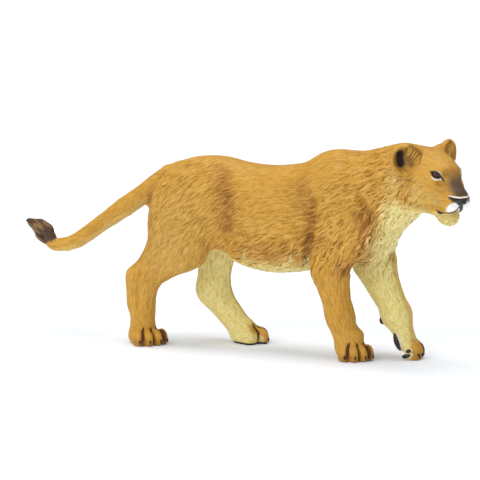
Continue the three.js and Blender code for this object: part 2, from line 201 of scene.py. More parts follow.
def barrel(p):
    """The trunk between its rows, a little squarer than an ellipse across, with rounded ends."""
    x = np.clip(p[:, 0], TRUNK[0, 0], TRUNK[-1, 0])
    top, middle, bottom, half = trunk_at(x).T
    z = p[:, 2] - middle
    height = np.where(z > 0, top - middle, middle - bottom)
    rho = (np.abs(p[:, 1] / half) ** SQUARE + np.abs(z / height) ** SQUARE) ** (1 / SQUARE)
    r = np.hypot(p[:, 1], z)
    d = r - r / np.maximum(rho, 1e-6)
    past = p[:, 0] - x
    return np.where(past == 0, d, np.hypot(np.maximum(d, 0), past) + np.minimum(d, 0))


trunk = join_all(
    4,
    barrel,
    ball([1.2, 0, 37], [8.2, 7.6, 9.5]),  # brisket
    ball([-9, 0, 52.8], [6, 4.2, 5.4]),  # withers
    ball([-60.4, 0, 38.8], [4.7, 6.4, 8.6]),  # buttocks
)
neck = join_all(
    4,
    limb([-3, 0, 45.6], 12.3, [13, -0.6, 53.4], 9.1, 0.76),
    limb([0.5, 0, 40.3], 8.6, [15, -1.6, 49.3], 6.4, 0.85),
)

HEAD = axes(HEAD_AT, HEAD_TURN)
skull = join_all(
    2.4,
    ball([-2, 0, -0.8], [8.6, 6.8, 6.4]),  # braincase
    ball([4.4, 0, -0.9], [4.4, 4.8, 3.7]),  # brow
    limb([6.4, 0, -2.2], 3.0, [10.9, 0, -6.4], 2.3),  # bridge of the nose
    both(lambda s: ball([1.2, 4.4 * s, -6.2], [5.6, 3.3, 4.8])),  # cheek
    both(lambda s: ball([-3.5, 4.2 * s, -7.0], [4.6, 3.4, 5.2])),  # angle of the jaw
    both(lambda s: limb([3.5, 3.0 * s, -5.2], 3.2, [9.2, 1.9 * s, -8.2], 2.5)),  # side of the muzzle
)
muzzle = join_all(
    1.0,
    both(lambda s: ball([9.1, 2.0 * s, -8.8], [3.0, 2.5, 2.4])),  # whisker pad
    ball([11.2, 0, -6.8], [1.6, 2.2, 1.4]),  # nose
)
jaw = join_all(
    1.6,
    limb([-1, 0, -9.2], 3.6, [6, 0, -11.6], 2.3, 1.25),
    ball([7.0, 0, -12.9], [3.1, 2.8, 2.6]),  # chin
)


def ear_axes(s):
    return axes([EAR["ahead"], EAR["aside"] * s, EAR["above"]], EAR["turn"] * s, 4, -EAR["lean"] * s)


def cup(s):
    """A round ear that opens forwards and outwards, folded into the forehead."""
    def part(p):
        shell = ball([0, 0, 0.4], [2.2, 4.6, 4.9])(p)
        hollow = ball([2.5, 0.3 * s, 0.9], [3.3, 3.7, 4.0])(p)
        fold = ball([-0.7, -3.7 * s, -1.8], [1.6, 2.9, 3.2])(p)
        return carve(join(shell, fold, 1.2), hollow, 0.4)
    return part


# The eye's own frame: x the way that it looks, y along the lids, z up.
EYE_OUT = 49  # degrees that the eye looks aside from straight ahead
LID_SLOPE = 24  # degrees that the lids fall towards the nose
LID_LONG, LID_HIGH = 1.62, 0.84  # half length and half height of the gap between the lids
LID_ARC = (LID_LONG**2 + LID_HIGH**2) / (2 * LID_HIGH)  # radius of the lids' edges


def eye_axes(s):
    at = [EYE["ahead"], EYE["aside"] * s, -EYE["below"]]
    return axes(at, EYE_OUT * s, 0, LID_SLOPE * s)


def lid_gap(s):
    """The almond-shaped gap between the lids, from just behind the eye's middle outwards."""
    def part(p):
        q = inner(eye_axes(s), p)
        y, z = q[:, 1], q[:, 2] + 0.05
        high = np.hypot(y, np.abs(z) + LID_ARC - LID_HIGH) - LID_ARC
        return np.maximum(high, -0.2 - q[:, 0])
    return part


def lids(s):
    return placed(eye_axes(s), ball([0, 0, 0], EYE_BULGE))


def inner_corner(s):
    """The hollow between the eye and the bridge of the nose."""
    return ball([9.5, 2.5 * s, -0.6], [1.7, 1.1, 1.3])


def head_shape(p):
    """The head in its own frame, with eye gaps, nostrils and mouth cut in."""
    d = join(join(skull(p), muzzle(p), 1.6), jaw(p), 1.2)
    d = join(d, both(lambda s: placed(ear_axes(s), cup(s)))(p), 1.2)
    for s in (-1, 1):
        d = join(d, lids(s)(p), 0.7)
        d = carve(d, ball([8.3, 4.0 * s, -3.1], [1.5, 1.0, 0.9])(p), 0.8)  # hollow before the eye
        d = carve(d, inner_corner(s)(p), 0.8)
        d = carve(d, lid_gap(s)(p), 0.12)
        nostril = limb([12.3, 0.9 * s, -7.4], 0.3, [11.0, 2.5 * s, -7.0], 0.26)
        d = carve(d, nostril(p), 0.25)
        corner = limb([9.6, 2.9 * s, -11.2], 0.22, [6.0, 4.7 * s, -11.0], 0.34)
        front = limb([11.2, 0, -11.1], 0.2, [9.6, 2.9 * s, -11.2], 0.2)
        d = carve(d, np.minimum(corner(p), front(p)), 0.3)
    cleft = limb([13.0, 0, -8.1], 0.2, [11.7, 0, -10.9], 0.24)
    return carve(d, cleft(p), 0.35)


head = within([4, -22, 38], [44, 18, 70], placed(HEAD, head_shape))


# Frame of each paw at its middle on the floor, x towards the toes, then half width and length.
PAWS = {
    "fore_right": (axes([-0.8, -4.6, 0], -42), 4.8, 11.6),
    "fore_left": (axes([12.9, 4.0, 0], 16), 3.8, 8.0),
    "hind_right": (axes([-65.4, -7.4, 0], -38), 5.1, 12.8),
    "hind_left": (axes([-39.4, 6.6, 0], -6), 4.6, 12.4),
}
# Middle and half width of each toe, as shares of the paw's length and half width.
TOES = {
    "fore_right": [(0.11, -0.8, 0.34), (0.26, -0.36, 0.3), (0.28, 0.2, 0.29), (0.2, 0.7, 0.31)],
    "hind_right": [(0.16, -0.7, 0.34), (0.27, -0.26, 0.29), (0.27, 0.32, 0.28), (0.19, 0.75, 0.29)],
    "hind_left": [(0.17, -0.5, 0.5), (0.35, 0.15, 0.32), (0.2, 0.68, 0.34)],
}
HEELS = {"fore_right": 0.5, "hind_right": 0.5, "hind_left": 0.37}  # shares of the length
TOE_LONG = 0.19


def flat_paw(name):
    _, half, length = PAWS[name]
    heel = HEELS[name]
    pads = [ball([x * length, y * half, 1.85], [TOE_LONG * length, wide * half, 2.65])
            for x, y, wide in TOES[name]]
    palm = ball([(0.34 - heel) * length, 0, 2.2], [0.34 * length, 0.88 * half, 3.8])
    fan = join_all(0.4, *pads)
    return lambda p: join(palm(p), fan(p), 1.0)


def toes_down(p):
    """The raised left fore paw, which stands on its toes."""
    toes = join_all(
        0.4,
        both(lambda s: ball([1.5, 0.95 * s, 2.1], [2.35, 1.15, 3.1])),
        both(lambda s: ball([0.9, 2.7 * s, 2.1], [2.35, 1.15, 3.1])),
    )
    return join(ball([-1.6, 0, 4.9], [2.3, 3.3, 3.0])(p), toes(p), 1.0)


def paw_of(name):
    return placed(PAWS[name][0], toes_down if name == "fore_left" else flat_paw(name))


fore_right = within([-24, -18, -2], [16, 6, 60], join_all(
    2.5,
    ball([-3, -6.2, 44.3], [7.5, 4.0, 10.5]),  # shoulder blade
    limb([2.0, -6.6, 35.8], 6.2, [-6.6, -7.0, 28.2], 5.7, 0.72),  # upper arm
    limb([-7.4, -6.6, 25], 5.3, [-5.0, -5.2, 12.5], 3.7, 0.82),  # forearm
    limb([-5.0, -5.2, 12.5], 3.7, [-2.9, -4.6, 5.0], 3.6, 0.98),  # wrist
    ball([-0.3, -4.0, 7.0], [2.0, 1.8, 1.5]),  # knuckle over the paw
    paw_of("fore_right"),
))
fore_left = within([-20, -6, -2], [26, 18, 60], join_all(
    2.4,
    ball([-1, 6.2, 44.3], [7.5, 4.0, 10.5]),
    limb([2, 6.6, 35.8], 6.2, [0.4, 7.0, 28.3], 6.2, 0.72),
    limb([0.6, 6.8, 25.5], 5.7, [8.2, 5.4, 12], 3.8, 0.86),
    limb([8.2, 5.4, 12], 3.8, [11.2, 4.2, 6.3], 2.6, 1.15),
    ball([5.6, 5.2, 10.9], [1.5, 1.3, 1.2]),  # wrist pad
    paw_of("fore_left"),
))
hind_right = within([-80, -18, -2], [-34, 6, 60], join_all(
    2.5,
    ball([-54.5, -5.6, 39.3], [10, 4.8, 12.5]),  # thigh
    limb([-57, -6.4, 35.3], 7.6, [-52.5, -7.0, 29.8], 6.6, 0.66),
    limb([-53.5, -7.0, 28.8], 6.0, [-65.6, -7.4, 20.0], 4.2, 0.72),  # shank
    limb([-59.2, -6.6, 33], 4.0, [-65.6, -7.2, 21.5], 2.6, 0.8),  # back of the thigh
    limb([-69.6, -7.4, 19.8], 1.9, [-68.4, -7.4, 12], 2.6, 0.9),  # heel tendon
    limb([-66.4, -7.4, 18], 4.1, [-66.6, -7.4, 7], 3.7, 0.84),  # hock and instep
    paw_of("hind_right"),
))
hind_left = within([-76, -6, -2], [-26, 18, 60], join_all(
    2.5,
    ball([-52.5, 5.6, 39.3], [10, 4.8, 12.5]),
    limb([-54, 6.4, 35.3], 7.4, [-49.8, 7.0, 28.3], 5.8, 0.74),
    limb([-49.8, 7.0, 26.3], 5.4, [-50.6, 7.0, 15.6], 4.8, 0.76),
    limb([-50.8, 7.0, 14.4], 4.4, [-42.2, 6.8, 4.8], 3.6, 0.84),
    paw_of("hind_left"),
))


tail = within([-112, -10, 18], [-50, 10, 58], join_all(
    0.5,
    join_all(0.15, *[limb([x0, 0, z0], r0, [x1, 0, z1], r1)
                     for (x0, z0, r0), (x1, z1, r1) in zip(TAIL, TAIL[1:])]),
    join_all(  # tuft
        0.3,
        limb([-100.2, 0, 26.3], 1.8, [-102.7, 0, 29.3], 2.7, 0.9),
        limb([-102.7, 0, 29.3], 2.7, [-104.2, 0, 30.9], 2.05, 0.9),
        limb([-104.2, 0, 30.9], 2.05, [-108.0, 0, 32.3], 0.6, 0.9),
    ),
))
body = within([-70, -16, 14], [28, 16, 72], lambda p: join(trunk(p), neck(p), 5))


def figure(p):
    d = body(p)
    for member in (head, fore_right, fore_left, hind_right, hind_left):
        d = join(d, member(p), 2.5)
    d = join(d, tail(p), 0.8)
    return np.maximum(d, -p[:, 2])  # flat soles


# ---- meshing the skin
LOW = np.array([-109.5, -14.5, -1.5])
HIGH = np.array([38.5, 14.5, 66.5])


def distance(p):
    return np.concatenate([figure(p[i:i + CHUNK]) for i in range(0, len(p), CHUNK)])


def fine_grid():
    """The distance near the figure's surface on a fine grid, and its sign elsewhere."""
    step = VOXEL * BLOCK
    blocks = np.ceil((HIGH - LOW) / step).astype(int)
    at = np.stack(np.meshgrid(*[np.arange(n) for n in blocks], indexing="ij"), -1).reshape(-1, 3)
    middle = distance(LOW + (at + 0.5) * step)
    values = np.repeat(np.repeat(np.repeat(
        np.where(middle > 0, 1.0, -1.0).astype(np.float32).reshape(blocks),
        BLOCK, 0), BLOCK, 1), BLOCK, 2)
    near = at[np.abs(middle) < step * 0.95 + 0.9]
    inside = np.stack(np.meshgrid(*[np.arange(BLOCK)] * 3, indexing="ij"), -1).reshape(-1, 3)
    cells = (near[:, None] * BLOCK + inside[None]).reshape(-1, 3)
    values[tuple(cells.T)] = distance(LOW + cells * VOXEL)
    return values


def figure_mesh():
    grid = openvdb.FloatGrid(1.0)
    grid.copyFromArray(np.clip(fine_grid(), -1, 1))
    points, quads = grid.convertToQuads(0.0)
    return LOW + points * VOXEL, quads


def slopes(p):
    """The distance at points and its slope, which points outwards."""
    d = distance(p)
    return d, np.stack([(distance(p + PROBE * step) - d) / PROBE for step in np.eye(3)], 1)


def settle(p, most, rounds=2):
    """Draws points onto the figure's surface, by no more than most in a round."""
    for _ in range(rounds):
        d, slope = slopes(p)
        steep = np.maximum((slope**2).sum(1), 0.2)
        p = p - np.clip(d[:, None] * slope / steep[:, None], -most, most)
    return p


# ---- placing things in the row frame
def eye_middle(s):
    return outer(HEAD, eye_axes(s)[1])


def packed_middle(node):
    low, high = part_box(node)
    return np.array(low + high) / 2 * 1000


SHIFT = (packed_middle("eye_right") - eye_middle(-1) + packed_middle("eye_left") - eye_middle(1)) / 2


def to_row(p):
    return (np.asarray(p, float) + SHIFT) / 1000


def unit(v):
    return v / np.maximum(np.linalg.norm(v, axis=-1, keepdims=True), 1e-9)


def smooth(low, high, v):
    t = np.clip((v - low) / (high - low), 0, 1)
    return t * t * (3 - 2 * t)


def added(name, data):
    thing = bpy.data.objects.new(name, data)
    bpy.context.scene.collection.objects.link(thing)
    return thing


def object_from(name, points, faces, material):
    """A mesh object from points in millimetres and an array of faces."""
    faces = np.asarray(faces, np.int32)
    mesh = bpy.data.meshes.new(name)
    mesh.vertices.add(len(points))
    mesh.vertices.foreach_set("co", to_row(points).astype(np.float32).ravel())
    mesh.loops.add(faces.size)
    mesh.loops.foreach_set("vertex_index", faces.ravel())
    mesh.polygons.add(len(faces))
    mesh.polygons.foreach_set("loop_start", np.arange(0, faces.size, faces.shape[1], dtype=np.int32))
    mesh.polygons.foreach_set("use_smooth", np.ones(len(faces), bool))
    mesh.update(calc_edges=True)
    mesh.materials.append(material)
    return added(name, mesh)


def add_masks(piece, masks):
    for name, values in masks.items():
        mask = piece.data.attributes.new(name, "FLOAT", "POINT")
        mask.data.foreach_set("value", np.asarray(values, np.float32))


def point_normals(points, quads):
    corners = points[quads]
    across = np.cross(corners[:, 2] - corners[:, 0], corners[:, 3] - corners[:, 1])
    total = np.zeros_like(points)
    for axis in range(3):
        for corner in range(4):
            total[:, axis] += np.bincount(quads[:, corner], across[:, axis], len(points))
    return unit(total)


# ---- the moulded coat
# How the coat is combed: a place (x, z) and its reach, the direction of the hair there, then the
# length, half width and height of its locks. Left and right are combed alike.
COMB = [
    ((-28, 40), 9, (-1, 0, -0.25), 2.1, 0.24, 0.10),
    ((-28, 53), 8, (-1, 0, -0.12), 1.8, 0.22, 0.05),
    ((-24, 29), 7, (-1, 0, -0.70), 2.6, 0.30, 0.19),
    ((-34, 26), 6, (-1, 0, -0.60), 2.6, 0.30, 0.21),
    ((-17, 28), 5, (-0.8, 0, -0.8), 2.8, 0.32, 0.23),
    ((-16, 43), 6, (-1, 0, -0.10), 2.2, 0.26, 0.13),
    ((-14, 53), 7, (-1, 0, -0.55), 1.9, 0.23, 0.08),
    ((-54, 49), 8, (-1, 0, -0.80), 2.2, 0.26, 0.13),
    ((-52, 37), 8, (-0.9, 0, -0.9), 2.3, 0.26, 0.12),
    ((-44, 31), 6, (-0.8, 0, -1.0), 2.2, 0.24, 0.12),
    ((-38, 42), 5, (-1, 0, -0.75), 2.2, 0.26, 0.15),
    ((-6, 45), 7, (-0.9, 0, -0.45), 2.3, 0.27, 0.14),
    ((-3, 34), 6, (-0.7, 0, -0.8), 2.5, 0.30, 0.21),
    ((3, 51), 6, (-0.9, 0, -0.5), 2.5, 0.29, 0.14),
    ((10, 48), 6, (-0.75, 0, -0.75), 2.8, 0.32, 0.24),
    ((9.5, 38), 4.5, (-0.45, 0, -1.0), 2.9, 0.33, 0.24),
    ((3, 40), 4, (-0.3, 0, -1.0), 2.2, 0.26, 0.09),
    ((16, 46), 5, (-0.9, 0.2, -0.6), 2.8, 0.32, 0.20),
    ((8, 30), 6, (-0.6, 0, -1.0), 2.7, 0.30, 0.19),
    ((-6, 17), 8, (0.15, 0, -1), 2.1, 0.20, 0.08),
    ((7, 17), 6, (0.2, 0, -1), 2.1, 0.20, 0.08),
    ((-60, 22), 8, (-0.6, 0, -1), 2.2, 0.23, 0.09),
    ((-66, 13), 7, (0.0, 0, -1), 2.1, 0.20, 0.08),
    ((-48, 20), 6, (0.0, 0, -1), 2.2, 0.22, 0.10),
    ((-45, 11), 7, (0.5, 0, -1), 2.1, 0.20, 0.08),
    *[((x, 2), reach, (1, 0, -0.8), 1.4, 0.16, 0.03)  # paws
      for x, reach in ((-66, 5), (-38, 6), (2, 5), (13, 5))],
    ((-70, 43), 5, (-1, 0, -0.65), 2.2, 0.22, 0.08),
    ((-84, 33), 7, (-1, 0, -0.7), 2.2, 0.22, 0.08),
    ((-95, 27), 5, (-1, 0, -0.2), 2.2, 0.22, 0.08),
    ((-103, 30), 4, (-1, 0, 0.8), 3.4, 0.30, 0.21),
    ((22, 60), 7, (-0.85, 0.35, 0.15), 1.4, 0.17, 0.04),
    ((20, 53), 5, (-0.75, 0.3, -0.65), 1.6, 0.20, 0.10),
    ((31, 54), 6, (-0.8, 0.4, 0.4), 1.1, 0.14, 0.01),
    ((24, 46), 4, (-0.9, 0.4, -0.4), 1.9, 0.23, 0.11),
]


def comb(p):
    """Direction, length, half width and height of the hair at points."""
    places, reach, ways = [np.array([row[k] for row in COMB], float) for k in range(3)]
    styles = np.hstack([unit(ways), [row[3:] for row in COMB]])
    off = ((p[:, None, [0, 2]] - places) ** 2).sum(2) / reach**2
    weight = np.exp(-off) + 1e-9
    style = weight @ styles / weight.sum(1, keepdims=True)
    return unit(style[:, :3]), style[:, 3], style[:, 4], style[:, 5]


LATTICE = 64  # random values along each axis before they repeat
STRAND_STEPS = 6


def soft_noise(p, cell, table):
    """Smooth noise with one random value at each corner of a lattice that repeats."""
    q = p / cell
    low = np.floor(q)
    f = q - low
    f = f * f * (3 - 2 * f)
    a = low.astype(np.int64) & (LATTICE - 1)
    b = (a + 1) & (LATTICE - 1)
    total = 0
    for corner in range(8):
        pick = [(b if corner >> k & 1 else a)[:, k] for k in range(3)]
        share = np.prod([f[:, k] if corner >> k & 1 else 1 - f[:, k] for k in range(3)], axis=0)
        total = total + share * table[(pick[0] * LATTICE + pick[1]) * LATTICE + pick[2]]
    return total


def strands(p, normals, along, cell, reach, wave, rng):
    """Noise smeared along the lie of the hair, so that it reads as strands; wave bends them."""
    grain, bends = rng.standard_normal((2, LATTICE**3))
    side = np.cross(normals, along)
    total = soft_noise(p, cell, grain)
    for way in (-1, 1):
        q = p
        for _ in range(STRAND_STEPS):
            turn = wave * soft_noise(q, 1.4, bends)[:, None]
            q = q + (along * np.cos(turn) + side * np.sin(turn)) * (way * reach / STRAND_STEPS)
            total = total + soft_noise(q, cell, grain)
    return total / total.std()


def flat_along(along, n):
    """A direction laid flat on the surface."""
    return unit(along - (along * n).sum(1, keepdims=True) * n)


def moulded_coat(p, normals, rng):
    """How far the moulded hair stands out, and its strands: above 0 on a crest, below 0 in a groove."""
    along, _, _, high = comb(p)
    along = flat_along(along, normals)
    fine = strands(p, normals, along, 0.19, 0.8, 0.22, rng)
    bold = strands(p, normals, along, 0.27, 1.1, 0.34, rng)
    share = smooth(0.10, 0.19, high)
    both_kinds = fine * np.sqrt(1 - share) + bold * np.sqrt(share)
    rise = high * (0.3 + 0.85 * np.tanh(0.9 * both_kinds))
    return rise, both_kinds


# ---- painted strokes and small solids
STROKE_RINGS, LID_RINGS = 24, 30
UP = np.array([0.0, 0.0, 1.0])


def along_path(points, count):
    """Evenly spaced points on the smooth curve through a few."""
    points = np.array(points, float)
    ends = np.vstack([2 * points[0] - points[1], points, 2 * points[-1] - points[-2]])
    t = np.linspace(0, len(points) - 1 - 1e-6, count * 4)
    i = t.astype(int)
    u = (t - i)[:, None]
    curve = spline(*[ends[i + step] for step in range(4)], u)
    run = np.concatenate([[0], np.cumsum(np.linalg.norm(np.diff(curve, axis=0), axis=1))])
    even = np.linspace(0, run[-1], count)
    return np.stack([np.interp(even, run, curve[:, k]) for k in range(3)], 1)


def tube(middle, up, wide, high, sides=8):
    """Points and quads of a closed tube along a path, flattened towards its up direction."""
    along = unit(np.gradient(middle, axis=0))
    up = unit(up - (up * along).sum(1, keepdims=True) * along)
    side = np.cross(along, up)
    turn = np.arange(sides) * 2 * math.pi / sides
    ring = (np.cos(turn)[None, :, None] * side[:, None] * wide[:, None, None]
            + np.sin(turn)[None, :, None] * up[:, None] * high[:, None, None])
    points = (middle[:, None] + ring).reshape(-1, 3)
    n = len(middle)
    i, j = np.meshgrid(np.arange(n - 1), np.arange(sides), indexing="ij")
    k = (j + 1) % sides
    quads = np.stack([i * sides + j, (i + 1) * sides + j, (i + 1) * sides + k, i * sides + k], -1)
    caps = []
    for start, order in ((0, 1), ((n - 1) * sides, -1)):
        for m in range(1, sides // 2):
            caps.append([start + (x % sides) for x in (m - 1, m, sides - m - 1, sides - m)][::order])
    return points, np.vstack([quads.reshape(-1, 4), np.array(caps)])


def merged(parts):
    points, faces, base = [], [], 0
    for p, f in parts:
        points.append(p)
        faces.append(f + base)
        base += len(p)
    return np.vstack(points), np.vstack(faces)


def brushed(middle, up, wide, thick):
    """A raised line of paint with these half widths at even steps along its path."""
    shape = np.interp(np.linspace(0, 1, len(middle)), np.linspace(0, 1, len(wide)), wide)
    return tube(middle, up, shape, np.minimum(shape, thick))


def stroke(path, wide, thick, lift=0.0):
    """A brush stroke of raised paint laid along the skin."""
    middle = settle(along_path(path, STROKE_RINGS), 1.2, 6)
    slope = slopes(middle)[1]
    return brushed(middle + unit(slope) * lift, slope, wide, thick)


def head_path(points, s):
    """A path given for the left of the head, placed on the side s."""
    return outer(HEAD, np.array(points, float) * [1, s, 1])


# ---- materials
def lin(r, g, b):
    """A colour given as it looks, in 0..255, as the shader wants it."""
    channels = [v / 255 for v in (r, g, b)]
    return tuple(((v + 0.055) / 1.055) ** 2.4 if v > 0.0404 else v / 12.92 for v in channels) + (1,)


SHADER_INPUTS = {"roughness": "Roughness", "specular": "Specular IOR Level", "coat": "Coat Weight",
                 "coat_roughness": "Coat Roughness", "glow": "Emission Color",
                 "glow_strength": "Emission Strength"}


class Nodes:
    """Short calls for building a node material."""

    def __init__(self, name, **values):
        self.material = bpy.data.materials.new(name)
        self.material.use_nodes = True
        self.tree = self.material.node_tree
        self.shader = self.tree.nodes["Principled BSDF"]
        for key, value in values.items():
            self.shader.inputs[SHADER_INPUTS[key]].default_value = value

    def node(self, kind, links=(), **values):
        node = self.tree.nodes.new(kind)
        for key, value in values.items():
            setattr(node, key, value)
        for socket, source in dict(links).items():
            self.put(node.inputs[socket], source)
        return node

    def put(self, socket, source):
        if isinstance(source, bpy.types.NodeSocket):
            self.tree.links.new(source, socket)
        else:
            socket.default_value = source

    def mask(self, name):
        return self.node("ShaderNodeAttribute", attribute_name=name).outputs["Fac"]

    def place(self):
        return self.node("ShaderNodeTexCoord").outputs["Object"]

    def noise(self, scale, detail, vector=None):
        links = {"Vector": vector or self.place(), "Scale": scale, "Detail": detail}
        return self.node("ShaderNodeTexNoise", links).outputs["Fac"]

    def times(self, a, b):
        return self.node("ShaderNodeMath", {0: a, 1: b}, operation="MULTIPLY").outputs[0]

    def mix(self, share, a, b, blend="MIX"):
        """Two colours mixed; of the node's sockets 6, 7 and 2 are the ones for colours."""
        links = {0: share, 6: a, 7: b}
        return self.node("ShaderNodeMix", links, data_type="RGBA", blend_type=blend).outputs[2]

    def spread(self, value, low, high, out_low=0.0, out_high=1.0):
        node = self.node("ShaderNodeMapRange", {0: value, 1: low, 2: high, 3: out_low, 4: out_high})
        return node.outputs[0]

    def bump(self, height, distance, strength):
        node = self.node("ShaderNodeBump", {"Height": height, "Distance": distance, "Strength": strength})
        self.tree.links.new(node.outputs[0], self.shader.inputs["Normal"])


def skin_material(name="painted_coat"):
    m = Nodes(name, specular=0.25)
    broad, fine = m.noise(90, 3), m.noise(1600, 4)
    tan = m.mix(m.spread(broad, 0.35, 0.65), lin(201, 148, 52), lin(209, 158, 64))
    # rust_and_shade mixes in rust-brown: the coat's own rust, and painted shade in the creases and under the
    # root of the tail.
    tan = m.mix(m.mask("rust_and_shade"), tan, lin(158, 98, 30))
    pale = m.mix(m.spread(fine, 0.3, 0.7), lin(230, 208, 122), lin(240, 226, 152))
    colour = m.mix(m.mask("pale"), tan, pale)
    dark = m.mix(m.mask("rust_and_shade"), lin(120, 72, 18), lin(84, 44, 12))
    # Grooves are darkened, painted shade over the toy's brown wash; crests are lightened, a painted
    # highlight.
    groove_shade = m.mix(m.mask("pale"), dark, lin(150, 122, 42))
    crest = m.mix(m.mask("pale"), lin(236, 190, 104), lin(250, 240, 186))
    colour = m.mix(m.times(m.mask("crest"), 0.6), colour, crest)
    colour = m.mix(m.times(m.mask("groove"), 0.78), colour, groove_shade)
    # smoke and deep also darken the ears' hollows, where part of it is painted shade.
    for paint, shown in (("smoke", lin(92, 70, 54)), ("deep", lin(44, 30, 24)),
                         ("white", lin(252, 250, 244)), ("black", lin(30, 24, 22))):
        colour = m.mix(m.mask(paint), colour, shown)
    speck = m.spread(fine, 0.35, 0.65, 0.94, 1.04)
    specks = m.node("ShaderNodeCombineColor", {0: speck, 1: speck, 2: speck}).outputs[0]
    m.put(m.shader.inputs["Base Color"], m.mix(1.0, colour, specks, "MULTIPLY"))
    m.put(m.shader.inputs["Roughness"], m.spread(m.mask("black"), 0, 1, 0.52, 0.35))
    stretch = m.node("ShaderNodeMapping", {"Vector": m.place(), "Rotation": (0, math.radians(-40), 0),
                                          "Scale": (0.28, 1, 1)})
    m.bump(m.noise(2600, 3, stretch.outputs[0]), 0.00012, 0.5)
    return m.material


def paint_material(name, colour, second, roughness, coat=0.0):
    """Flat paint that wavers between two colours."""
    m = Nodes(name, roughness=roughness, coat=coat, coat_roughness=0.08)
    m.put(m.shader.inputs["Base Color"], m.mix(m.spread(m.noise(3000, 3), 0.35, 0.65), colour, second))
    m.bump(m.noise(4500, 2), 0.00003, 0.4)
    return m.material


def eye_material():
    """Pupil, iris and dark rim by the angle from the way that the eye looks, under a gloss coat."""
    m = Nodes("eye_gloss", roughness=0.3, specular=0.2, coat=0.6, coat_roughness=0.04)
    iris = m.mix(m.spread(m.noise(2500, 2), 0.35, 0.65), lin(92, 50, 32), lin(116, 68, 46))
    angle = m.mask("from_look")
    colour = m.mix(m.spread(angle, 0.24, 0.36), lin(14, 9, 8), iris)
    colour = m.mix(m.spread(angle, 0.85, 1.15), colour, lin(24, 14, 11))
    m.put(m.shader.inputs["Base Color"], colour)
    return m.material


# ---- the skin
def spot(p, c, r, soft=0.35):
    """A soft-edged patch of paint: 1 inside the ellipsoid, 0 outside."""
    return smooth(1 + soft, 1 - soft, np.linalg.norm((p - np.array(c)) / np.array(r), axis=1))


def on_both(mask):
    """A mask made for the right and the left."""
    return np.maximum(mask(-1), mask(1))


# Edges of the pale paint: its front on neck and chest, x at each height, and its top along the head,
# height at each x. Then the dark bridge of the nose in the head's frame: half width at each height.
PALE_FRONT = [(25, -1.5), (27.5, 1.6), (30, 4.6), (33.3, 6.3), (36.5, 7.7), (38, 8.1), (42.7, 8.8),
              (46.9, 10.2), (49.1, 11.5), (60, 22)]
PALE_TOP = [(5, 47.5), (9.5, 47.4), (14.3, 46.3), (18.1, 45.4), (23.6, 44.4), (30, 44.0)]
NOSE_LINE = [(-8.5, 2.9), (-5.7, 2.8), (-3.9, 2.6), (-2.1, 2.3), (-0.3, 2.2), (1.6, 1.3)]
PAW_TOP = (6.4, 4.6)  # where the tan of the paws ends


def curve_at(table, v):
    """The second column of a table read at values of the first."""
    return np.interp(v, [row[0] for row in table], [row[1] for row in table])


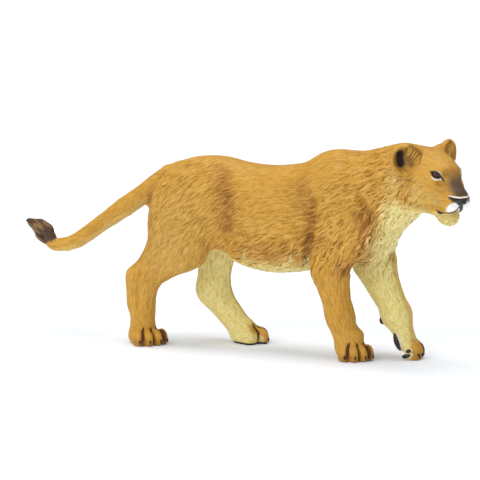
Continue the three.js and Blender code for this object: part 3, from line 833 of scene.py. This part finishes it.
def paint_masks(p, n, ragged=0.0):
    """The paint at points, with painted shade and painted contact shadow among it; ragged breaks the edges of
    the pale paint along the strands.
    """
    h = inner(HEAD, p)
    x, y, z = p.T
    hx, hy, hz = h.T
    near_head = smooth(16, 20, x)
    masks = {}

    front = smooth(-2.2, 2.2, x - curve_at(PALE_FRONT, z) + 0.9 * ragged)
    under = smooth(1.8, -1.8, z - curve_at(PALE_TOP, x) + 0.6 * ragged)
    off_arm = np.maximum(smooth(4.6, 3.2, np.abs(y)), smooth(28.5, 30.5, z))
    throat = front * under * smooth(24, 27, z) * off_arm
    low = trunk_at(x)[:, 2]
    belly = smooth(5.2, 0.6, z - low + 1.5 * ragged) * smooth(-52, -47, x) * smooth(4, 0, x)
    belly *= np.where(x > -14, smooth(5, 3.5, np.abs(y)), 1)
    belly *= np.where(x < -36, smooth(5.5, 3.5, np.abs(y)), 1)
    belly *= smooth(-2.4, -1.0, z - low) * smooth(0.3, -0.35, n[:, 2])
    to_middle = -np.sign(y) * n[:, 1]
    edge = np.where(y > 0, 0.3 * smooth(-5, 3, x), 0.8)  # the left legs' paint reaches further round
    inner_leg = smooth(edge - 0.3, edge + 0.3, to_middle) * smooth(34, 27, z)
    inner_leg *= np.maximum(smooth(0.6, 2.0, np.abs(y)), z < 22)
    facing = smooth(0.75, 0.35, n[:, 1])
    inner_leg = np.maximum(inner_leg, 0.45 * facing * (x > 0) * smooth(1.0, 2.5, y) * smooth(34, 27, z))
    toes = np.zeros(len(p))
    for name, (fr, half, length) in PAWS.items():
        ahead, aside, above = inner(fr, p).T
        reach = 0.7 if name == "fore_left" else 0.1 * length
        on_paw = smooth(*PAW_TOP, above) * smooth(length, 0.8 * length, ahead)
        tan = smooth(reach - 1.2, reach + 0.4, ahead) * smooth(1.4 * half, 1.2 * half, np.abs(aside))
        if name == "hind_left":  # its inner toe is pale, and its tan runs back over the instep
            instep = smooth(1.7, 2.7, ahead + 1.4 * (above - 4.6)) * smooth(-3, -1, ahead)
            tan = np.maximum(tan * smooth(-0.9, -0.1, aside), instep * (np.abs(aside) < 1.3 * half))
        toes = np.maximum(toes, tan * on_paw)
    inner_leg *= (1 - toes) * np.where(y < 0, smooth(4, 8, z), 1)
    # The chin is only 0.7 pale, kept darker than the throat as painted shade under the jaw.
    chin = 0.7 * smooth(-11.3, -11.9, hz) * smooth(1.0, 4.0, hx) * near_head
    tail_under = 0.35 * smooth(-0.2, -0.8, n[:, 2]) * smooth(-64, -70, x)
    beige = np.max([0.42 * spot(h, (0.5, 0, -6.6), (3.6, 12, 3.4), 0.9) * near_head,
                    0.5 * spot(h, (-8.0, 0, -4.2), (4.4, 12, 3.4), 0.9) * smooth(8, 12, x),
                    0.25 * spot(h, (6.5, 0, -7.6), (2.2, 12, 1.6), 0.9) * near_head], 0)
    thigh = 0.14 * spot(p, (-57, 0, 30), (10, 20, 13), 0.8)
    masks["pale"] = np.max([0.94 * throat, belly, inner_leg, chin, tail_under, beige, thigh], 0)

    # Rust-brown paint and painted shade: the bands along the creases behind the shoulder and elbow, before
    # the arm and on the flank, along the rear edge of the rump, and the spot under the root of the tail are
    # painted shade; the ear's rim and the patches on the face and thigh are the coat's own colour. A band
    # runs along the lower flank, and the toes darken towards the floor.
    rust_and_shade = np.max([
        0.72 * band(p, [(-41.0, 49.5), (-39.6, 46), (-39.0, 41), (-38.8, 36)], 3.0),
        0.5 * band(p, [(-15.8, 49), (-13.5, 45), (-12.2, 40), (-13, 34)], 3.4),
        0.95 * band(p, [(-12.4, 35), (-14.2, 30), (-15.5, 26)], 1.7),
        0.5 * band(p, [(-18, 29), (-24, 28), (-33, 30)], 3.6),
        (1 - throat) * 0.85
        * band(p, [(3.4, 43), (4.8, 40), (5.0, 36), (4.4, 32), (2.3, 29), (-1.8, 26.6)], 2.5),
        0.4 * band(p, [(-65, 42), (-63.5, 34), (-67, 26)], 2.6),
        0.22 * spot(p, (-57, 0, 31), (10, 20, 13), 0.8),
        0.35 * spot(h, (8.6, 0, -0.4), (2.4, 4.2, 1.8), 0.6),
        0.3 * spot(h, (8.0, 0, -6.0), (2.0, 7.0, 3.4), 0.8),
        0.2 * on_both(lambda s: spot(h, (-2.5, 7.0 * s, -2.0), (2.6, 3.5, 2.0), 0.8)),
        0.12 * spot(h, (2.0, 0, 5.0), (7, 6, 3.5), 0.8),
        0.45 * toes * smooth(3.5, 1.0, z),
        0.9 * spot(p, (-66.0, 0, 41.6), (1.6, 6, 1.6), 0.8),
    ], 0)

    bridge = curve_at(NOSE_LINE, hz) + 0.8 * (hy > 0)
    smoke = smooth(bridge + 1.1, bridge - 1.1, np.abs(hy)) * smooth(5.5, 9.0, hx - 0.3 * hz)
    smoke *= smooth(2.0, -3.4, hz) * smooth(-8.7, -8.0, hz)
    # Inside each ear: a dark core, and shade, painted shade spread over the hollow; both go into smoke and
    # deep.
    dark_ear, ear_rim = np.zeros((2, len(p)))
    for s in (-1, 1):
        e = inner(ear_axes(s), h) * [1, s, 1]
        off = from_path(e[:, [1, 0, 2]], [(0.2, 2.7), (0.9, 1.8), (1.6, 0.6)])  # across the ear
        core = smooth(2.3, 0.6, off) * smooth(-1.6, -1.0, e[:, 0]) * smooth(3.0, 1.8, e[:, 0])
        shade = 0.5 * spot(e, (0.3, -1.0, 0.5), (2.0, 2.3, 2.8), 0.5)
        dark_ear = np.maximum(dark_ear, np.maximum(core, shade) * smooth(4.4, 3.0, e[:, 1]))
        around = np.linalg.norm(e[:, 1:] - [0, 0.4], axis=1) / 4.8
        ear_rim = np.maximum(ear_rim, np.exp(-((around - 1.16) / 0.12) ** 2) * smooth(0, 1.5, e[:, 1])
                             * smooth(4.0, 2.5, np.abs(e[:, 0])))
    tuft = smooth(-0.3, 0.4, -0.32 * (x + 99.2) + 0.95 * (z - 27.3)) * smooth(-98.4, -99.0, x)
    masks["smoke"] = np.max([smoke, dark_ear, tuft], 0)
    masks["deep"] = smooth(0.6, 1.0, dark_ear)
    masks["rust_and_shade"] = np.maximum(rust_and_shade, 0.7 * ear_rim)

    lips = on_both(lambda s: spot(h, (11.6, 2.05 * s, -9.95), (2.8, 2.1, 1.95), 0.14))
    masks["white"] = lips * smooth(-12.1, -11.6, hz)

    nose = smooth(0.25, -0.1, nose_area(h))
    nostrils = on_both(lambda s: spot(h, (11.9, 2.3 * s, -7.3), (1.4, 1.2, 0.5), 0.3))
    # Black on the undersides of the paws next to the floor is a painted contact shadow, and so is the dark
    # line along the foot of the far hind paw.
    soles = smooth(0.5, 0.05, z) * smooth(-0.5, -0.9, n[:, 2]) * 0.85
    far_hind_paw_shadow = smooth(0.75, 0.45, z) * smooth(-46, -44, x) * smooth(-25, -28, x) * (y > 0)
    masks["black"] = np.max([nose, nostrils, soles, far_hind_paw_shadow], 0)
    for name in ("pale", "rust_and_shade", "white"):
        masks[name] = masks[name] * (1 - masks["smoke"])
    return masks


def nose_area(h):
    """Negative on the leather of the nose, in the head's frame."""
    w = np.abs(h[:, 1])
    top = h[:, 2] + 7.1 - 0.2 * w
    bottom = -9.0 - h[:, 2]
    side = w - (2.6 + 1.0 * np.minimum(h[:, 2] + 7.7, 0))
    return np.max([top, bottom, side, 10.9 - h[:, 0]], 0)


# Creases between the muscles: side (-1 right, 1 left, 0 both), path as (x, z), depth and width.
FOLDS = [
    (-1, [(-11.5, 46), (-12.0, 38), (-13.4, 31), (-15.5, 26)], 1.3, 1.4),  # behind the elbow
    (1, [(-8, 46), (-7, 38), (-8, 31), (-9, 26)], 1.1, 1.5),
    (-1, [(2.4, 48), (6.4, 42), (7.9, 38), (7.2, 33.5), (4.6, 29.5), (-1.2, 25.8)],
     1.3, 1.2),  # before the arm
    (1, [(4, 47), (8, 40), (9, 35), (7.5, 29.5)], 0.8, 1.2),
    (-1, [(-9, 42), (-7.0, 36), (-9.0, 30.5)], 0.4, 1.4),  # triceps
    (-1, [(-4.5, 41.8), (-2.3, 40.5), (-1.9, 39), (-2.4, 35.6), (-3.0, 33)], 0.5, 0.8),
    (0, [(-39.5, 50), (-38.2, 43), (-39.4, 35), (-43, 28)], 0.7, 2.3),  # flank
    (0, [(-4, 58), (-2, 53), (0.5, 48)], 0.6, 1.8),  # before the shoulder blade
    (0, [(-59, 44), (-61, 36), (-60, 29)], 0.5, 1.8),  # hamstring
    (0, [(-58, 27), (-53, 24.5), (-50, 24)], 0.35, 1.3),  # above the knee
    (-1, [(-65.8, 21.5), (-66.6, 15), (-66.7, 9)], 0.6, 0.8),  # before the heel tendon
    (-1, [(-7.5, 24), (-5.8, 16), (-4.8, 8)], 0.3, 0.9),
]


def from_path(p, path):
    """Distance seen from the side between points and a path of (x, z)."""
    q = p[:, [0, 2]]
    nearest = np.full(len(p), 1e9)
    for a, b in zip(np.array(path, float), np.array(path[1:], float)):
        t = np.clip((q - a) @ (b - a) / ((b - a) @ (b - a)), 0, 1)
        nearest = np.minimum(nearest, np.linalg.norm(q - a - t[:, None] * (b - a), axis=1))
    return nearest


def fold_depth(p):
    depth = np.zeros(len(p))
    for side, path, deep, wide in FOLDS:
        on_side = smooth(1.2, 3.5, side * p[:, 1] if side else np.abs(p[:, 1]))
        depth = np.maximum(depth, deep * np.exp(-(from_path(p, path) / wide) ** 2) * on_side)
    return depth


def band(p, path, half):
    """A soft band of paint along a path seen from the side; along creases it is painted shade."""
    return np.exp(-(from_path(p, path) / half) ** 2)


def dress_skin():
    """The skin in place of all the flesh; gives its points, normals and the height of its coat."""
    rng = random_for("coat")
    points, quads = figure_mesh()
    points = settle(points, VOXEL * 0.5)
    points[:, 2] = np.maximum(points[:, 2], 0)
    normals = point_normals(points, quads)
    rise, ragged = moulded_coat(points, normals, rng)
    masks = paint_masks(points, normals, ragged)
    bare = np.max([masks["black"], masks["white"], masks["smoke"] * (points[:, 0] > 0)], 0)
    eyes = on_both(lambda s: spot(points, eye_middle(s), (3.0, 3.0, 3.0), 0.3))
    plain = (1 - bare) * (1 - eyes) * (1 - smooth(0.9, 0.1, points[:, 2]))
    folds = fold_depth(points)
    high = comb(points)[3]
    chin = spot(inner(HEAD, points), (7, 0, -13), (3.5, 3.2, 2.6))
    strength = plain * np.maximum(0.3 + 0.7 * smooth(0.03, 0.2, high), chin)
    # groove darkens the grooves between the strands and the creases of the folds, painted shade over the
    # toy's brown wash, and the chin all over, painted shade under the jaw; crest lightens the crests of the
    # strands, a painted highlight.
    groove = smooth(-0.2, -1.7, ragged) * strength + 0.3 * smooth(0.3, 1.3, folds) + 0.25 * chin
    masks["groove"] = np.clip(groove, 0, 1)
    masks["crest"] = smooth(0.3, 1.7, ragged) * strength
    sunk = points + normals * (rise * plain - 0.05 - folds)[:, None]
    sunk[:, 2] = np.where(points[:, 2] < 0.02, 0, np.maximum(sunk[:, 2], 0))  # soles on the floor
    skin = object_from("skin", sunk, quads, skin_material())
    add_masks(skin, masks)
    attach(skin, "root")
    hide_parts(*[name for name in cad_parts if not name.startswith("eye_")])
    return points, normals, high


# ---- solid locks of hair
LOCK_RINGS, LOCK_SIDES = 8, 8
COAT_LOCKS, FRINGE_LOCKS, EAR_LOCKS, TUFT_LOCKS = 1400, 700, 24, 84
ALONG_LOCK = np.linspace(0, 1, LOCK_RINGS)
LEAF = np.interp(ALONG_LOCK, [0, 0.15, 0.4, 0.7, 0.9, 1], [0.5, 0.85, 1.0, 0.78, 0.4, 0.08])
CHART = 1 / 300  # of the unwrap's width, for each millimetre
PATCH = 0.003  # width of one lock's patch


def unwrap(p, n):
    """The place on an unwrap of the skin in charts, one for each way that its faces look."""
    x, y, z = (p - LOW).T
    up, left = np.abs(n[:, 2]) > 0.75, p[:, 1] > 0
    ends = ~up & (np.abs(n[:, 0]) > 0.75)
    flat = ~up & ~ends
    u = np.select([flat, up], [0.01 + x * CHART, 0.51 + x * CHART],
                  0.51 + y * CHART + 0.12 * (n[:, 0] > 0))
    row = 0.01 + 0.24 * (2 * left + (n[:, 1] > 0))
    v = np.select([flat, up], [row + z * CHART, 0.01 + y * CHART + 0.12 * (n[:, 2] > 0)], 0.3 + z * CHART)
    return np.stack([u, v], 1)


def lock_of(path, up, wide, high):
    """A leaf-shaped lock: points, quads, place of each face corner on its patch, root and normal."""
    points, quads = tube(path, up, wide * LEAF, high * LEAF, LOCK_SIDES)
    ring, side = np.divmod(quads, LOCK_SIDES)
    wraps = (side.max(1) - side.min(1) == LOCK_SIDES - 1) & (ring.max(1) != ring.min(1))
    side = np.where(wraps[:, None] & (side == 0), LOCK_SIDES, side)
    return points, quads, np.stack([side / LOCK_SIDES, ring / (LOCK_RINGS - 1)], -1), path[0], up[0]


def coat_piece(name, locks, dark=0.0, bare=False):
    """One piece from many locks, painted like the skin under them, each with its patch of the unwrap."""
    points, quads = merged([lock[:2] for lock in locks])
    roots, normals = [np.array([lock[k] for lock in locks]) for k in (3, 4)]
    piece = object_from(name, points, quads, skin_material(name + "_paint"))
    count = LOCK_RINGS * LOCK_SIDES
    each = np.repeat(np.arange(len(locks)), count)
    ragged = random_for("lock_paint").normal(0, 1, len(locks))
    masks = paint_masks(points, normals[each], ragged[each])
    turn = np.tile(np.arange(LOCK_SIDES) * 2 * math.pi / LOCK_SIDES, LOCK_RINGS * len(locks))
    t = np.tile(np.repeat(ALONG_LOCK, LOCK_SIDES), len(locks))
    # Each lock is darkened along its sides, on its underside and at its root, painted shade, and lightened
    # along its upper side, a painted highlight.
    edge = 0.75 * np.abs(np.cos(turn)) ** 2 + 0.5 * (np.sin(turn) < -0.1)
    masks["groove"] = np.clip(edge + smooth(0.35, 0.0, t) - 0.35 * smooth(0.6, 1, t), 0, 1) * 0.6
    masks["crest"] = 0.6 * smooth(0.3, 0.8, np.sin(turn)) * smooth(0.2, 0.6, t)
    # The ear's locks are darker towards their tips, and their edges are darkened more, painted shade in the
    # hollow.
    if bare:
        masks["smoke"] = masks["deep"] = 0.35 * smooth(0.5, 1.0, t)
        masks["groove"] = np.clip(1.6 * masks["groove"], 0, 1)
    # The tuft's locks are dark, lighter on their crests as a painted highlight, some darker at random, with
    # the painted shade of their edges.
    if dark:
        tone = random_for("tuft_tone").uniform(0, 1, len(locks))[each]
        masks["smoke"] = dark * (1 - 0.5 * masks["crest"] * (0.3 + tone))
        masks["deep"] = np.clip(masks["groove"] + 0.55 * (tone < 0.3), 0, 1)
    add_masks(piece, masks)
    uv = np.concatenate([place + PATCH * (lock[2].reshape(-1, 2) - 0.5)
                         for place, lock in zip(unwrap(roots, normals), locks)])
    piece.data.uv_layers.new(name="OFBake").data.foreach_set("uv", uv.astype(np.float32).ravel())
    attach(piece, "root")


def skin_level(p):
    """Points drawn onto the finished skin with its folds, and which way is out there."""
    p = settle(p, 0.8)
    n = unit(slopes(p)[1])
    return p - n * fold_depth(p)[:, None], n


def lay_locks(name, rng, roots, points, normals, size, stand):
    """Locks that lie on the skin from their roots, along the comb; stand lifts their tips."""
    middle, n0 = points[roots], normals[roots]
    along, long, half, tall = comb(middle)
    long = long * rng.uniform(0.8, 1.3, len(roots)) * size
    turn = rng.normal(0, 0.3, len(roots))
    bend = rng.normal(0, 0.5, len(roots))
    path, p = [], middle
    for share in ALONG_LOCK:
        p, n = skin_level(p)
        lift = np.interp(share, [0, 0.5, 1], [-0.12, 0.06 * stand, 0.16 * stand]) * (0.5 + 3 * tall) - 0.02
        path.append(p + n * lift[:, None])
        way = flat_along(along, n)
        side = np.cross(n, way)
        angle = (turn + bend * (share - 0.4))[:, None]
        p = p + (way * np.cos(angle) + side * np.sin(angle)) * (long / (LOCK_RINGS - 1))[:, None]
    path = np.stack(path, 1)
    wide = 1.15 * half * size
    locks = [lock_of(path[k], np.repeat(n0[k:k + 1], LOCK_RINGS, 0), wide[k], 0.13)
             for k in range(len(roots))]
    coat_piece(name, locks)


def coat_locks(points, normals, high):
    """Tufts where the coat breaks the form: neck, chest, elbow and lower flank, then belly and chin."""
    rng = random_for("locks")
    x, y, z = points.T
    h = inner(HEAD, points)
    low = trunk_at(x)[:, 2]
    fringe = smooth(3.0, 0.8, z - low) * smooth(-46, -40, x) * smooth(0, -6, x)
    fringe *= (np.abs(y) < 9) * (z > low - 2)
    chin = smooth(-11.8, -12.6, h[:, 2]) * smooth(3, 5, h[:, 0])
    off_head = 1 - smooth(24, 26, x)
    flock = smooth(0.14, 0.22, high) * (z > 22) * off_head
    flock *= 1 - on_both(lambda s: spot(h, (-3.2, 7.5 * s, 2.8), (5, 5, 6)))  # off the ears
    for name, weight, count, stand in (("coat_locks", flock, COAT_LOCKS, 1.0),
                                       ("fringe_locks", fringe + chin, FRINGE_LOCKS, 1.6)):
        roots = rng.choice(len(points), count, replace=False, p=weight / weight.sum())
        lay_locks(name, rng, roots, points, normals, 1 - 0.5 * chin[roots], stand)


def ear_locks():
    """The fan of hair that runs from the front rim of each ear into its hollow."""
    rng = random_for("ears")
    locks = []
    for s in (-1, 1):
        fr = ear_axes(s)
        out = ahead_of(fr)
        for k in range(EAR_LOCKS):
            at = -3.8 + 7.2 * k / (EAR_LOCKS - 1) + rng.normal(0, 0.12)
            start = (0.8, -4.5 + 0.07 * at**2, at)
            end = (0.4 + rng.normal(0, 0.1), -0.4 + rng.normal(0, 0.5), 0.6 * at - 0.7)
            bow = (2.0, 0.5 * (start[1] + end[1]), 0.5 * (start[2] + end[2]) + 0.4)
            path = on_head(fr, along_path([start, bow, end], LOCK_RINGS) * [1, s, 1])
            for _ in range(3):  # out of the skin
                d, slope = slopes(path)
                path = path + slope * np.maximum(0.1 - d, 0)[:, None]
            locks.append(lock_of(path, np.repeat(out, LOCK_RINGS, 0), 0.2, 0.2))
    coat_piece("ear_locks", locks, bare=True)


def tuft_locks():
    """Dark locks lying along the tuft of the tail to its point."""
    rng = random_for("tuft")
    locks = []
    tip, start = np.array([-108.6, 0, 32.6]), np.array([-100.4, 0, 26.9])
    aside = np.array([0.0, 1.0, 0.0])
    across = np.cross(unit(tip - start), aside)
    for k in range(TUFT_LOCKS):
        turn = k * 2.4  # about the golden angle, so that they spread evenly
        t = rng.uniform(0, 0.55) + ALONG_LOCK * rng.uniform(0.38, 0.5)
        bow = np.sin(math.pi * t)[:, None] * [-0.22, 0, -0.14]
        spoke = across * math.cos(turn) + aside * math.sin(turn)
        p = settle(start + (tip - start) * t[:, None] + bow + spoke * 3.5, 3.0, 5)
        n = unit(slopes(p)[1])
        path = p + n * np.interp(ALONG_LOCK, [0, 0.5, 1], [-0.1, 0.1, 0.2])[:, None]
        locks.append(lock_of(path, n, 0.42, 0.2))
    coat_piece("tuft_locks", locks, dark=0.95)


def on_head(fr, p):
    """Points from a frame on the head."""
    return outer(HEAD, outer(fr, p))


def ahead_of(fr):
    """The way that a frame on the head faces."""
    return (HEAD[0] @ fr[0])[:, :1].T


def eye_ball(s):
    """An eyeball, and the angle of its points from the way that it looks."""
    rings, sides = 28, 40
    tilt = np.linspace(0.02, math.pi - 0.02, rings)
    path = np.stack([np.cos(tilt), 0 * tilt, 0 * tilt], 1) * EYE["radius"]
    wide = np.sin(tilt) * EYE["radius"]
    points, quads = tube(path, np.tile(UP, (rings, 1)), wide, wide, sides)
    return on_head(eye_axes(s), points), quads, np.repeat(tilt, sides)


def rim(s, upper):
    """The edge of a lid in the eye's frame, from the outer corner to the inner."""
    inward = np.linspace(-LID_LONG, LID_LONG, 15)
    z = np.sqrt(LID_ARC**2 - inward**2) - LID_ARC + LID_HIGH
    return np.stack([np.full(15, 3.0), -s * inward, (z if upper else -z) - 0.05], 1)


def closed_face(p):
    """The face with no gap between the lids."""
    h = inner(HEAD, p)
    d = join(skull(h), muzzle(h), 1.6)
    for s in (-1, 1):
        d = carve(join(d, lids(s)(h), 0.7), inner_corner(s)(h), 0.8)
    return d


def lid_stroke(s, path, wide, shift):
    """A stroke of paint on the face along a lid; shift moves it up."""
    out = ahead_of(eye_axes(s))
    middle = on_head(eye_axes(s), along_path(path + [0, 0, shift], LID_RINGS))
    for _ in range(40):  # back onto the face
        middle = middle - out * closed_face(middle)[:, None] * 0.8
    return brushed(middle, np.repeat(out, LID_RINGS, 0), wide, 0.13)


def finish_piece(name, parts, material):
    piece = object_from(name, *merged(parts), material)
    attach(piece, "root")


# Painted lines of the face in the head's frame, for its left half; the pale line along the top edge of the
# nose is a painted highlight.
NOSE_HIGHLIGHT = [(13.1, 0.0, -6.75), (12.8, 1.5, -6.8), (11.9, 2.8, -6.6), (10.9, 3.5, -6.35)]
NOSTRIL_LINE = [(12.9, 0.8, -7.85), (12.4, 1.8, -7.75), (11.7, 2.8, -7.45), (10.9, 3.5, -6.95)]
MOUTH = [(10.6, 1.3, -11.6), (9.6, 2.2, -11.7), (8.4, 3.3, -11.8), (7.2, 3.9, -11.9),
         (6.2, 4.4, -11.85), (5.5, 4.5, -11.6)]
PHILTRUM = [(13.0, 0, -8.5), (12.7, 0.05, -9.3), (12.1, 0.3, -10.2), (11.2, 0.9, -11.0), (10.4, 1.5, -11.5)]


def face_pieces():
    black = paint_material("black_paint", lin(22, 17, 16), lin(34, 26, 24), 0.28, coat=0.3)
    cream = paint_material("cream_paint_and_highlight", lin(244, 236, 214), lin(236, 224, 196), 0.45)
    rims, lines, pale = [], [], []
    for s, side in ((-1, "right"), (1, "left")):
        points, quads, look = eye_ball(s)
        eye = object_from("eyeball_" + side, points, quads, eye_material())
        add_masks(eye, {"from_look": look})
        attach(eye, "root")
        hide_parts("eye_" + side)
        upper, lower = rim(s, True), rim(s, False)
        tear = np.array([[3, -s * (LID_LONG + 0.5), -0.28], [3, -s * (LID_LONG + 1.15), -0.75]])
        outer_tail = np.array([[3, s * (LID_LONG + 0.5), 0.12]])
        rims.append(lid_stroke(s, np.vstack([outer_tail, upper, tear]),
                               (0.1, 0.24, 0.26, 0.22, 0.2, 0.24, 0.26, 0.06), 0.03))
        rims.append(lid_stroke(s, lower, (0.06, 0.1, 0.14, 0.18, 0.2), 0.0))
        under = np.vstack([lower[2:], [[3, -s * (LID_LONG + 0.5), -0.55]]])
        pale.append(lid_stroke(s, under, (0.08, 0.22, 0.27, 0.26, 0.2, 0.06), -0.36))
        pale.append(lid_stroke(s, upper[5:], (0.03, 0.07, 0.1, 0.1, 0.06), 0.34))
        lines.append(stroke(head_path(NOSTRIL_LINE, s), (0.45, 0.5, 0.45, 0.4, 0.15), 0.12))
        # A painted highlight along the top edge of the nose leather.
        pale.append(stroke(head_path(NOSE_HIGHLIGHT, s), (0.24, 0.26, 0.26, 0.1), 0.12))
        lines.append(stroke(head_path(MOUTH, s), (0.3, 0.26, 0.12, 0.14, 0.32, 0.38, 0.1), 0.14, lift=0.04))
        lines.append(stroke(head_path(PHILTRUM, s), (0.46, 0.42, 0.44, 0.44, 0.3), 0.14, lift=0.06))
    finish_piece("lid_lines", rims, black)
    finish_piece("mouth_lines", lines, black)
    finish_piece("cream_lines", pale, cream)


def gap_path(a, b, reach):
    """The line down the gap between two toes, from their middles and their reach forwards."""
    across = unit(b - a)
    out = np.array([across[1], -across[0]])
    return [np.append((a + b) / 2 + out * reach * ahead, z)
            for ahead, z in ((-0.5, 5.2), (0.3, 4.3), (0.75, 2.6), (0.8, 0.6))]


# The line between the tan toes and the pale inner toe of the left hind paw, in the paw's frame.
SLANTED_GAP = [(0.6, -0.2, 4.5), (2.4, -0.7, 3.4), (3.9, -1.2, 2.2), (4.7, -1.4, 0.9)]


def paw_pieces():
    brown = paint_material("toe_paint", lin(80, 36, 6), lin(104, 54, 12), 0.65)
    horn = paint_material("claw_paint", lin(40, 24, 18), lin(62, 38, 26), 0.35)
    for name, (fr, half, length) in PAWS.items():
        if name == "fore_left":
            gaps = [[(1.4, 1.8 * y, 5.0), (3.2, 1.85 * y, 3.8), (3.8, 1.85 * y, 2.2), (3.4, 1.85 * y, 0.5)]
                    for y in (0, 1)]
            toes = [(0.9, -2.7, -20), (1.5, -0.95, -8), (1.5, 0.95, 8), (0.9, 2.7, 20)]
            reach = 2.3
        else:
            middles = [np.array([x * length, y * half]) for x, y, _ in TOES[name]]
            gaps = [gap_path(a, b, TOE_LONG * length) for a, b in zip(middles, middles[1:])]
            toes = [(x, y, 0.4 * math.degrees(math.atan2(y, x + 2))) for x, y in middles]
            toes = toes[1:] if name == "hind_left" else toes
            reach = TOE_LONG * length
        if name == "hind_left":
            gaps[0] = SLANTED_GAP
        lines = [stroke(outer(fr, path), (0.06, 0.38, 0.52, 0.54, 0.5, 0.26), 0.16, lift=0.12)
                 for path in gaps]
        claws = []
        for x, y, turn in toes:
            out = np.array([math.cos(math.radians(turn)), math.sin(math.radians(turn))])
            track = [np.append([x, y] + out * (reach + ahead), z)
                     for ahead, z in ((-0.9, 1.9), (-0.25, 1.6), (0.0, 1.1), (-0.05, 0.6))]
            size = np.array([0.3, 0.38, 0.42, 0.42, 0.38, 0.3, 0.2, 0.06])
            claws.append(tube(outer(fr, along_path(track, 8)), np.tile(UP, (8, 1)), size * 0.8, size))
        finish_piece("toe_lines_" + name, lines, brown)
        finish_piece("claws_" + name, claws, horn)


# The pads that show under the raised left fore paw: middles in its own frame, and half sizes. The
# middle of the one at the wrist is in the figure's coordinates.
PADS = [
    ((-3.15, -1.95, 5.1), (1.3, 2.1, 2.8)),
    ((0.1, -3.35, 2.75), (1.05, 0.75, 0.65)),
    ((-0.3, -3.0, 1.35), (1.8, 1.4, 0.8)),
]
WRIST_PAD = ((4.2, 4.0, 10.2), (0.8, 1.15, 1.1))
PAW_TURN, PAD_DIP = 16, -20  # degrees that the pads are turned, and slope


def pad_pieces():
    rubber = paint_material("pad_black", lin(24, 20, 20), lin(38, 32, 30), 0.35)
    edge = paint_material("pad_edge", lin(240, 230, 196), lin(230, 214, 172), 0.5)
    fr = PAWS["fore_left"][0]
    slope = axes((0, 0, 0), PAW_TURN, PAD_DIP)
    pads, edges = [], []
    for middle, size in PADS:
        at, size = outer(fr, [middle])[0], np.array(size)
        pads.append(round_solid(at, size, slope))
        edges.append(round_solid(at + [0.12, 0.3, 0.05], size + 0.16, slope))
    pads.append(round_solid(np.array(WRIST_PAD[0]), WRIST_PAD[1], slope))
    finish_piece("pads_fore_left", pads, rubber)
    finish_piece("pad_edges_fore_left", edges, edge)


def round_solid(middle, size, fr):
    """A closed ellipsoid along the axes of a frame."""
    rings, sides = 14, 20
    t = np.linspace(0.05, math.pi - 0.05, rings)
    path = outer((fr[0], middle), np.stack([-np.cos(t) * size[0], 0 * t, 0 * t], 1))
    return tube(path, np.tile(UP, (rings, 1)), np.sin(t) * size[1], np.sin(t) * size[2], sides)


# ---- floor, light and camera
VIEW_TURN, VIEW_RISE = math.radians(25), math.radians(9)
LENS, SENSOR, AWAY = 259.5, 36.0, 1.0
LOOKED_AT = (-38.78, 0.0, 31.25)


def stage_it():
    # The faint blue glow makes up for the tan light that the figure throws down.
    m = Nodes("pale_floor", roughness=0.9, specular=0.1, glow=(0.36, 0.62, 1.0, 1), glow_strength=0.15)
    m.put(m.shader.inputs["Base Color"], m.mix(m.noise(3, 2), (0.93, 0.935, 0.94, 1), (0.94, 0.945, 0.95, 1)))
    mesh = bpy.data.meshes.new("floor")
    mesh.from_pydata([(-8, -8, 0), (8, -8, 0), (8, 8, 0), (-8, 8, 0)], [], [(0, 1, 2, 3)])
    mesh.materials.append(m.material)
    floor = added("floor", mesh)

    world = bpy.data.worlds.new("studio")
    bpy.context.scene.world = world
    world.use_nodes = True
    world.node_tree.nodes["Background"].inputs["Color"].default_value = (1, 1, 1, 1)
    world.node_tree.nodes["Background"].inputs["Strength"].default_value = 0.4
    for name, place, softness, power in (
        ("key", (-0.05, 0.08, 1.6), 40, 1.75),
        ("fill", (-0.3, -1.0, 0.6), 50, 1.05),
    ):
        light = bpy.data.lights.new(name, "SUN")
        light.angle, light.energy = math.radians(softness), power
        lamp = added(name, light)
        lamp.location = place
        lamp.rotation_euler = (-Vector(place)).to_track_quat("-Z", "Y").to_euler()

    back = Vector((math.sin(VIEW_TURN) * math.cos(VIEW_RISE), -math.cos(VIEW_TURN) * math.cos(VIEW_RISE),
                   math.sin(VIEW_RISE)))
    data = bpy.data.cameras.new("camera")
    data.lens, data.sensor_width = LENS, SENSOR
    data.clip_start, data.clip_end = 0.05, 30
    camera = added("camera", data)
    camera.location = Vector(to_row(LOOKED_AT)) + back * AWAY
    camera.rotation_euler = (-back).to_track_quat("-Z", "Y").to_euler()
    bpy.context.scene.camera = camera
    bpy.context.scene.view_settings.view_transform = "Standard"


stage_it()
skin_points, skin_normals, coat_height = dress_skin()
coat_locks(skin_points, skin_normals, coat_height)
ear_locks()
tuft_locks()
face_pieces()
paw_pieces()
pad_pieces()

bpy.context.view_layer.update()
